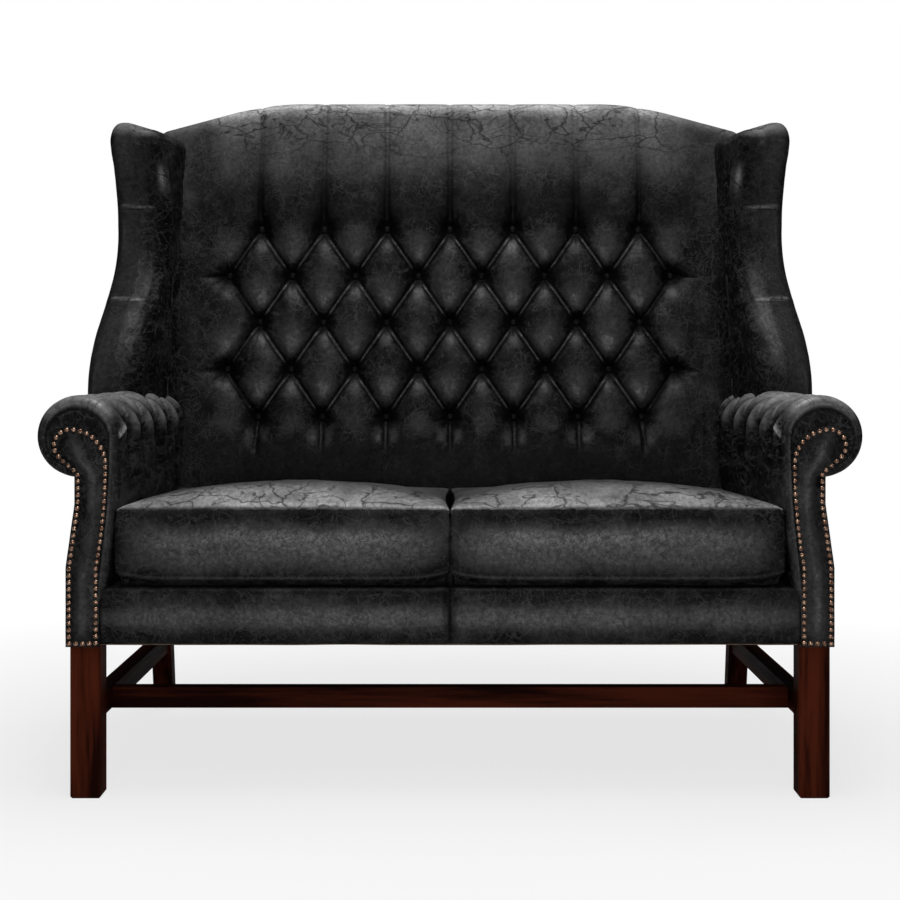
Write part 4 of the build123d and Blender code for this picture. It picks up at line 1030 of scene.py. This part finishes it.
def wing_patches():
    """Padded wing in level slices: outside face, squared front with a round inner corner, inside face."""
    cap = WING_SLOPE + WING_TURN
    body_rows = steps(WING_LOW, WING_TOP - cap, 0.0036)
    cap_turn = np.linspace(0, pi / 2, int(30 / COARSE))[1:]
    z = np.concatenate([body_rows, WING_TOP - cap + cap * np.sin(cap_turn)])
    zz = z[:, None]
    front = wing_front_line(z)[:, None]
    ahead = (WING_PIVOT - front) / cos(WING_SPLAY)
    outer, inner = wing_edges(zz)
    width = inner - outer
    tight = np.minimum(WING_TIGHT, 0.4 * width)
    broad = np.minimum(WING_BROAD, 0.55 * width)

    def place(a, b):
        """Point a ahead of the pivot and b in from the outside face."""
        x = WING_X + a * sin(WING_SPLAY) - b * cos(WING_SPLAY)
        y = WING_PIVOT - a * cos(WING_SPLAY) - b * sin(WING_SPLAY)
        return x, y

    rear_out = (WING_PIVOT - back_depth(zz, WING_REAR)) / cos(WING_SPLAY)
    rear_in = (WING_PIVOT - back_depth(zz, 0.03)) / cos(WING_SPLAY)
    side = steps(0, 1, 0.0048 / 0.25)[None, :]
    out_turn = np.linspace(0, pi / 2, int(12 / COARSE))[None, 1:]
    in_turn = np.linspace(0, pi / 2, int(22 / COARSE))[None, 1:]
    flat = np.linspace(0, 1, int(14 / COARSE))[None, 1:]
    out_a = rear_out + (ahead - tight - rear_out) * side
    in_a = ahead - broad + (rear_in - ahead + broad) * side[:, 1:]
    a = np.concatenate([
        out_a,
        ahead - tight + tight * np.sin(out_turn),
        ahead + 0 * flat,
        ahead - broad + broad * np.cos(in_turn),
        in_a,
    ], axis=1)
    b = np.concatenate([
        outer + 0 * out_a,
        outer + tight - tight * np.cos(out_turn),
        outer + tight + (width - tight - broad) * flat,
        inner - broad + broad * np.sin(in_turn),
        inner + 0 * in_a,
    ], axis=1)

    behind = ahead - a
    share = (b - outer) / width
    inside = ramp(0.6, 1.0, share)
    nx = np.clip((share - 0.5) * 2.4, -1, 1) * ramp(0.0, 0.02, behind)
    na = 1 - ramp(0.010, 0.045, behind)
    swell = 0.004 * np.sin(pi * np.clip(b / WING_THICK, 0, 1)) * na
    front_zone = (1 - ramp(0.02, 0.05, behind)) * ramp(0.010, 0.022, b) * (1 - ramp(0.060, 0.080, b))
    crease = np.zeros_like(a)
    puff = swell
    lip_highlights = np.zeros_like(a)
    for height in WING_CREASES:
        line = zz - height + 0.06 * b
        crease = crease + bell(line + 0.0012, 0.0024) * front_zone
        lip_highlights = lip_highlights + bell(line - 0.0030, 0.0020) * front_zone
        puff = puff + 0.0026 * bell(line + 0.0055, 0.0035) * front_zone
    seam = bell(behind - 0.050, 0.0026) * (1 - ramp(0.02, 0.05, b))
    slack = 0.0009 * ripple(zz * 22, a * 16 + inside * 7, 61)
    slack = slack + 0.0006 * ripple(zz * 70, a * 60 + b * 50, 62)
    strands = 0.0011 * ripple(zz * 9, behind * 150, 64) * inside * ramp(0.0, 0.04, behind)
    inset = 0.0044 * crease + 0.0024 * seam + slack + strands - puff
    settle = 1 - ramp(WING_TOP - 0.030, WING_TOP, zz)
    x, y = place(a - inset * na * settle, b - inset * nx * (1 - na) * settle)
    gap = back_depth(zz, WING_REAR) - y
    bend = np.clip(1 - gap / CREST_REAR_ROUND, 0, 1)
    fall = WING_REAR_FALL * (1 - ramp(0, 0.15, gap)) + 0.014 * (1 - np.sqrt(1 - bend**2))
    fall = fall * ramp(WING_TOP - 0.10, WING_TOP - 0.01, zz)
    points = stack(x, FRONT + y - fall * tan(RAKE), zz - fall)
    # Painted light and shade in wear and rub: a lighter band down the front face, darker creases with lit
    # lips above them, the top of the ear lighter as if lit from above, and a lit strip at the inner front
    # corner.
    pad = bell(b - 0.028, 0.024) * (1 - ramp(0.010, 0.040, behind))
    wear_and_painted_shading = 0.02 + 0.50 * pad + 0.12 * ripple(zz * 11, a * 10 + b * 20, 63) - 0.5 * crease
    wear_and_painted_shading = wear_and_painted_shading + 0.6 * lip_highlights
    rub_and_painted_highlight = np.broadcast_to(ramp(WING_TOP - 0.040, WING_TOP - 0.004, zz) * 0.7, a.shape)
    rub_and_painted_highlight = rub_and_painted_highlight * (1 - ramp(0.050, 0.075, b)) + 0.9 * lip_highlights
    rub_and_painted_highlight = np.clip(rub_and_painted_highlight + bell(b - 0.0885, 0.0040) * bell(zz - 1.033, 0.020) * (behind < 0.06), 0, 1)
    patches = [(points, np.clip(wear_and_painted_shading, 0, 1), rub_and_painted_highlight)]
    for edge in (points[0], points[-1]):
        half = edge.shape[0] // 2
        left = edge[:half]
        right = edge[::-1][:half]
        across = np.linspace(0, 1, 5)[:, None, None]
        patches.append(plain(left[None] * (1 - across) + right[None] * across, 0.2))
    wrap = points[:, 0].copy()
    wrap[:, 0] = np.maximum(np.minimum(wrap[:, 0] - 0.0005, POST_SIDE), points[:, -1, 0])
    tuck = wrap.copy()
    tuck[:, 1] = FRONT + back_depth(wrap[:, 2], 0.001)
    patches.append(plain(np.stack([points[:, 0], wrap, tuck, points[:, -1]]), 0.1))
    for row in (0, -1):
        ends = np.stack([[points[row, 0], points[row, -1]], [wrap[row], tuck[row]]])
        patches.append(plain(ends, 0.1))
    return patches


def build_wings(leather):
    make_pair("wing_upholstery", wing_patches(), leather, "wing_cover")


# Outside back


def build_outside_back(leather):
    """Plain outside back: one stretched panel with a hem all round."""
    half = 0.5896
    t = steps(-1, 1, 0.010)[None, :]
    share = steps(0, 1, 0.010)[:, None]
    u = t * half
    top = crest_height(u) - 0.012
    foot = 0.0055
    v = foot + share * (top - foot)
    rim = np.minimum(np.minimum(half - np.abs(u), v - foot), top - v)
    slack = 0.0011 * ripple(u * 7, v * 8, 71) + 0.0005 * ripple(u * 30, v * 34, 72)
    bow = 0.0018 * ramp(0, 0.06, rim) + slack * ramp(0, 0.05, rim)
    hem = 0.0014 * bell(rim - 0.012, 0.0026)
    outer = back_point(u, v, -BOARD - 0.0034 - bow + hem)
    inner = back_point(u, v, -BOARD - 0.0008 + 0 * bow)
    wear_and_painted_shading = np.clip(0.24 + 0.26 * ripple(u * 10, v * 10, 73), 0, 1)
    patches = [(outer, wear_and_painted_shading, 0 * wear_and_painted_shading), (inner, wear_and_painted_shading, 0 * wear_and_painted_shading)] + walled(outer, inner)
    piece = make_piece("outside_back_panel", patches, leather, ["outside_back"])
    size = float(np.trapz(top[0], u[0]))


# Seat


def build_front_borders(leather):
    """Padded border under the cushions, in two halves that meet in a centre seam."""
    low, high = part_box("front_border_right")
    x = steps(0.0001, high.x - 0.0004, 0.005)[None, :]
    turn = steps(0, 1, 0.022)[:, None]
    path = turn * 2 - 1
    z = low.z + 0.0004 + (high.z - low.z - 0.0008) * (0.5 + 0.5 * np.sign(path) * np.abs(path) ** 0.85)
    swell = (1 - np.abs(path) ** 4.5) ** 0.5
    tuck = 1 - 0.75 * bell(x - x.min(), 0.006)
    slack = 0.0006 * ripple(x * 9, z * 16, 81) + 0.0003 * ripple(x * 60, z * 45, 82)
    depth = (high.y - low.y) - 0.001
    y = high.y - depth * np.clip(swell * (0.55 + 0.45 * tuck), 0.02, 1)
    y = y - 0.0035 * swell * tuck + slack * swell
    face = stack(x + 0 * z, y, z + 0 * x)
    # Painted light and shade: a lighter band along the middle of the border, darker at the centre seam's
    # tuck and towards the arm end.
    wear_and_painted_shading = 0.02 + 0.84 * bell(path + 0.05, 0.33) + 0.16 * ripple(x * 14, z * 14, 83)
    wear_and_painted_shading = np.clip(wear_and_painted_shading - 0.5 * (1 - tuck) - 0.5 * ramp(high.x - 0.05, high.x, x), 0, 1)
    rear = face.copy()
    rear[..., 1] = high.y - 0.0002
    patches = [(face, wear_and_painted_shading, 0 * wear_and_painted_shading), plain(rear, 0.1)] + walled(face, rear, 0.2)
    make_pair("front_border_pad", patches, leather, "front_border")


def crowded(count):
    """Values from -1 to 1, closer together towards both ends."""
    t = np.linspace(-1, 1, int(count / COARSE))
    return np.sign(t) * (1 - (1 - np.abs(t)) ** 1.35)


def cushion_shell(low, high):
    """Right cushion: top, boxing all round with its seams, and underside."""
    A, B = np.meshgrid(crowded(92), crowded(88))
    mid_y = (low.y + high.y) / 2
    half_y = (high.y - low.y) / 2 - 0.002

    def plan(A, B, shrink=0.0):
        y = mid_y + B * (half_y - 0.004 * (1 - A**2) * (B > 0) - shrink)
        narrow = toe(y - FRONT)
        draw = 0.007 * (1 - B**2)
        outer = high.x + toe(low.y - FRONT) - narrow + 0.0030 - draw
        inner = low.x + 0.0006 + draw
        centre = (inner + outer) / 2
        return centre + A * ((outer - inner) / 2 - shrink), y

    behind = (B + 1) / 2
    edge = low.z + 0.1225 - 0.0145 * behind**1.5
    x, y = plan(A, B)
    dome = (1 - np.abs(A) ** 2.3) * np.sin(pi * behind**0.75) ** 0.9
    seams = 0.0035 * bell(1 - np.abs(A), 0.018) + 0.0035 * bell(1 - np.abs(B), 0.018)
    dents = 0.0030 * ripple(A * 2.1 + 5, B * 2.3, 91) + 0.0010 * ripple(A * 11, B * 5, 92)
    top = edge + 0.002 + 0.0265 * dome + dents * dome - seams
    core = low.z + 0.1091 + (0.007 + 0.080 * behind * (1 - behind)) * (1 - A**2)
    top = (top + core + np.hypot(top - core, 0.003)) / 2
    top_points = stack(x, y, top)
    # Painted shade and top light: the top is lighter as if lit from above, fading towards the rear, where
    # the back's shade falls.
    fade_into_back_shade = 1 - 0.82 * ramp(0.05, 0.40, behind)
    rub_and_painted_highlight = np.clip(0.75 + 0.25 * dome + 0.25 * ripple(A * 5, B * 6, 93), 0, 1) * fade_into_back_shade
    rub_and_painted_highlight = rub_and_painted_highlight * ramp(0.004, 0.022, 1 - np.abs(B))
    patches = [(top_points, np.clip(0.3 + 0.4 * dome * fade_into_back_shade, 0, 1), rub_and_painted_highlight)]

    bottom_z = low.z + 0.0006
    bx, by = plan(A, B, 0.008)
    under = stack(bx, by, bottom_z + 0 * bx)
    patches.append(plain(under, 0.15))

    ra, rb, rim_top = (rim_of(grid)[None, :] for grid in (A, B, top))
    rim_x, rim_y = plan(ra, rb)
    t = np.linspace(0, 1, int(40 / COARSE))[:, None]
    corner = np.minimum(np.abs(ra), np.abs(rb))
    lifted = bottom_z + 0.014 * corner**9 * ramp(0.5, 1.0, t)
    z = rim_top + (lifted - rim_top) * t
    nxr = np.where(np.abs(ra) > 0.999, np.sign(ra), 0.0)
    nyr = np.where(np.abs(rb) > 0.999, np.sign(rb), 0.0)
    size = np.maximum(np.hypot(nxr, nyr), 1e-6)
    along = np.where(np.abs(rb) > 0.999, ra, rb)
    puff = 0.0085 * np.sin(pi * t) ** 0.7 * (1 - 0.55 * np.abs(along) ** 6)
    puff = puff * np.where(np.abs(nyr) > 0, 1.0, np.where(nxr > 0, 0.75, 0.25))
    welt = 0.0016 * bell(t - 0.022, 0.013) - 0.0022 * bell(t - 0.060, 0.015)
    low_seam = 0.0018 * bell(t - 0.91, 0.014) - 0.0020 * bell(t - 0.875, 0.014)
    tuck = 0.008 * ramp(0.90, 1.0, t) ** 1.5
    slack = 0.0006 * ripple(along * 5 + 3 * nxr, t * 3, 94) + 0.0003 * ripple(along * 22, t * 8, 95)
    out = puff + welt + low_seam - tuck + slack * np.sin(pi * t)
    side_points = stack(rim_x + nxr / size * out, rim_y + nyr / size * out, z)
    side_points[0] = stack(rim_x[0], rim_y[0], rim_top[0])
    # Painted light and shade on the boxing: a lighter band across the middle, darker towards its top, its
    # bottom and its ends.
    shade = ramp(0.10, 0.42, t) * (1 - ramp(0.66, 0.92, t)) * (1 - np.abs(along) ** 7)
    wear_and_painted_shading = 0.02 + 0.80 * shade + 0.14 * ripple(along * 6, t * 4, 96) + 0.06 * ripple(along * 30, t * 9, 97)
    # A pale line painted along the lower seam's ridge.
    pale_seam_line = 0.16 * bell(t - 0.905, 0.008) * (1 - np.abs(along) ** 9)
    patches.append((side_points, np.clip(wear_and_painted_shading, 0, 1), pale_seam_line + 0 * wear_and_painted_shading))
    patches.append(plain(np.stack([side_points[-1], rim_of(under)]), 0.15))
    return patches


def build_cushions(leather):
    patches = cushion_shell(*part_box("cushion_cover_right"))
    make_pair("seat_cushion", patches, leather, "cushion_cover", rides=True)


def build_platform(cloth):
    """Platform under the cushions: a thin padded panel with two stitched lines."""
    low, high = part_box("seat_deck")
    a = steps(-1, 1, 0.018)[None, :]
    b = steps(0, 1, 0.012)[:, None]
    front = low.y - PLATFORM_FRONT
    y = front + b * (high.y - 0.0006 - front)
    front_half = high.x + PLATFORM_SIDE
    narrow = toe(y - low.y)
    x = a * (front_half - narrow)
    rim = np.minimum(front_half - narrow - np.abs(x), np.minimum(y - front, high.y - y))
    top = high.z - 0.0022 * (1 - ramp(0, 0.02, rim)) - 0.0006
    stitch = 0.0016 * bell(y - front - 0.090, 0.0022) + 0.0012 * bell(rim - 0.016, 0.002)
    top = top - stitch + 0.0004 * ripple(x * 14, y * 14, 98)
    face = stack(x, y, top)
    under = stack(x, y, low.z + 0.0004 + 0 * x)
    patches = [plain(face), plain(under)] + walled(face, under)
    piece = make_piece("seat_platform", patches, cloth, ["seat_deck"])


def build_dust_cover(cloth):
    """Thin cloth tacked under the rails, hanging a little slack."""
    low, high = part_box("dust_cover")
    a = steps(-1, 1, 0.022)[None, :]
    b = steps(0, 1, 0.020)[:, None]
    y = low.y + 0.001 + b * (high.y - low.y - 0.002)
    half = high.x - 0.001 - toe(y - low.y)
    x = a * half
    rim = np.minimum(half - np.abs(x), np.minimum(y - low.y, high.y - y))
    hang = 0.006 * ramp(0, 0.25, rim) + 0.0006 * ripple(x * 12, y * 12, 99)
    upper = stack(x, y, high.z - 0.0002 - hang)
    lower = upper - np.array([0, 0, 0.0008])
    patches = [plain(upper), plain(lower)] + walled(upper, lower)
    piece = make_piece("dust_cover_cloth", patches, cloth, ["dust_cover"])


# CAD nodes that stay


def dress_nodes(materials):
    """Materials for the timber, metal, webbing and foam of the CAD model."""
    kinds = {
        "mahogany_x": "cross_stretcher", "mahogany_y": "side_stretcher", "mahogany_z": "front_leg rear_leg",
        "beech_x": "front_seat_rail rear_seat_rail corner_blocks"
                   " back_top_rail back_middle_rail back_bottom_rail",
        "beech_y": "side_seat_rail arm_rail arm_stuffing_rail",
        "beech_z": "arm_stump wing_board back_post back_slats",
        "nails": "facing_nails", "steel": "corner_screws seat_springs spring_clips",
        "webbing": "back_webbing", "foam": "arm_foam wing_foam back_foam cushion_core",
    }
    finish = {stem: materials[kind] for kind, stems in kinds.items() for stem in stems.split()}
    for name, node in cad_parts.items():
        key = name.removesuffix("_left").removesuffix("_right")
        if key in finish:
            node.data.materials.clear()
            node.data.materials.append(finish[key])


# Studio


def build_floor():
    """Pale floor that fades into the white background and keeps the sofa's shadow."""
    material, tree, surface, place = shader("studio_floor", 0.8)
    tree.nodes.remove(surface)
    paint = add(tree, "ShaderNodeBsdfDiffuse", {"Color": (0.62, 0.62, 0.62, 1)})
    glow = add(tree, "ShaderNodeEmission", {"Color": (1, 1, 1, 1), "Strength": 1.0})
    reach = add(tree, "ShaderNodeVectorMath", {0: place}, operation="LENGTH").outputs["Value"]
    white = spread(tree, reach, 0.7, 1.7, 0.76, 1.0)
    path = add(tree, "ShaderNodeLightPath")
    seen = maths(tree, "MULTIPLY", path.outputs["Is Camera Ray"], white)
    mixed = add(tree, "ShaderNodeMixShader", {0: seen, 1: paint.outputs[0], 2: glow.outputs[0]})
    tree.links.new(mixed.outputs[0], tree.nodes["Material Output"].inputs["Surface"])
    size = 30.0
    mesh = bpy.data.meshes.new("studio_floor")
    corners = [(-size, -size, 0), (size, -size, 0), (size, size, 0), (-size, size, 0)]
    mesh.from_pydata(corners, [], [(0, 1, 2, 3)])
    mesh.materials.append(material)
    floor = bpy.data.objects.new("studio_floor", mesh)
    bpy.context.scene.collection.objects.link(floor)


def build_world():
    world = bpy.data.worlds.new("studio")
    world.use_nodes = True
    bpy.context.scene.world = world
    tree = world.node_tree
    dim = tree.nodes["Background"]
    dim.inputs["Color"].default_value = (1, 1, 1, 1)
    dim.inputs["Strength"].default_value = 0.03
    white = add(tree, "ShaderNodeBackground", {"Color": (1, 1, 1, 1), "Strength": 1.0})
    path = add(tree, "ShaderNodeLightPath")
    mixed = add(
        tree, "ShaderNodeMixShader",
        {0: path.outputs["Is Camera Ray"], 1: dim.outputs[0], 2: white.outputs[0]},
    )
    tree.links.new(mixed.outputs[0], tree.nodes["World Output"].inputs["Surface"])


def softbox(name, place, aim, width, height, power):
    light = bpy.data.lights.new(name, "AREA")
    light.shape = "RECTANGLE"
    light.size = width
    light.size_y = height
    light.energy = power
    lamp = bpy.data.objects.new(name, light)
    lamp.location = place
    away = [p - a for p, a in zip(place, aim)]
    lamp.rotation_euler = (
        atan2(hypot(away[0], away[1]), away[2]), 0, atan2(away[1], away[0]) + pi / 2,
    )
    bpy.context.scene.collection.objects.link(lamp)


def build_studio():
    build_floor()
    build_world()
    softbox("top_light", (0, FRONT + 0.30, 2.75), (0, FRONT + 0.30, 0.5), 2.6, 1.4, 74)
    softbox("front_light", (0, FRONT - 3.0, 0.62), (0, FRONT, 0.62), 2.2, 0.45, 25)
    softbox("high_light", (0, FRONT - 1.9, 2.9), (0, FRONT + 0.2, 0.7), 2.4, 0.7, 14)
    softbox("left_light", (-2.6, FRONT - 1.0, 1.5), (0, FRONT + 0.2, 0.6), 0.8, 1.6, 6)
    softbox("right_light", (2.6, FRONT - 1.0, 1.5), (0, FRONT + 0.2, 0.6), 0.8, 1.6, 6)
    bpy.context.scene.view_settings.view_transform = "Standard"


def build_camera():
    """Camera straight in front, as in the photograph; lens and shift from its scale and horizon."""
    distance = 2.6
    height = 0.702
    pixels = 900.0
    scale = 637.0                # pixels per metre at the front plane
    horizon = 353.0              # picture row at the camera's height
    sensor = 36.0
    data = bpy.data.cameras.new("photo_camera")
    data.sensor_width = sensor
    data.lens = sensor * scale * distance / pixels
    data.shift_y = (horizon - pixels / 2) / pixels
    camera = bpy.data.objects.new("photo_camera", data)
    camera.location = (0, FRONT - distance, height)
    camera.rotation_euler = (pi / 2, 0, 0)
    bpy.context.scene.collection.objects.link(camera)
    bpy.context.scene.camera = camera


def main():
    woods = (                    # name, light, dark, roughness and figure
        ("mahogany", (0.066, 0.0125, 0.0050, 1), (0.0105, 0.0017, 0.0008, 1), 0.5, 1.5),
        ("beech", (0.56, 0.38, 0.23, 1), (0.36, 0.22, 0.12, 1), 0.6, 0.8),
    )
    jute = ((0.36, 0.26, 0.14, 1), (0.15, 0.10, 0.05, 1))
    black = ((0.022, 0.022, 0.023, 1), (0.006, 0.006, 0.006, 1))
    materials = {"nails": nail_material(), "steel": steel_material(), "foam": foam_material()}
    for axis in "xyz":
        for wood, *look in woods:
            materials[f"{wood}_{axis}"] = wood_material(f"{wood}_{axis}", axis, *look)
    materials["webbing"] = woven_material("jute_webbing", 0.0032, *jute)
    cloth = woven_material("black_platform_cloth", 0.0013, *black)
    leather = leather_material("distressed_black_leather", rubbed_and_highlit_grey=0.32)
    seat_leather = leather_material("seat_black_leather", depth=0.30, rubbed_and_highlit_grey=0.34)
    # Painted light: the arms' copy has paler veins, for the grazing light on their inside faces.
    arm_leather = leather_material(
        "arm_black_leather", depth=0.20, rubbed_and_highlit_grey=0.32, vein_grey=0.058, rift=0.45
    )
    wing_leather = leather_material("wing_black_leather", depth=0.45)
    dress_nodes(materials)

    build_back(leather)
    build_back_buttons(leather)
    build_outside_back(leather)
    build_arms(leather, arm_leather)
    build_wings(wing_leather)
    build_front_borders(leather)
    build_cushions(seat_leather)
    build_platform(cloth)
    build_dust_cover(cloth)

    build_studio()
    build_camera()


main()
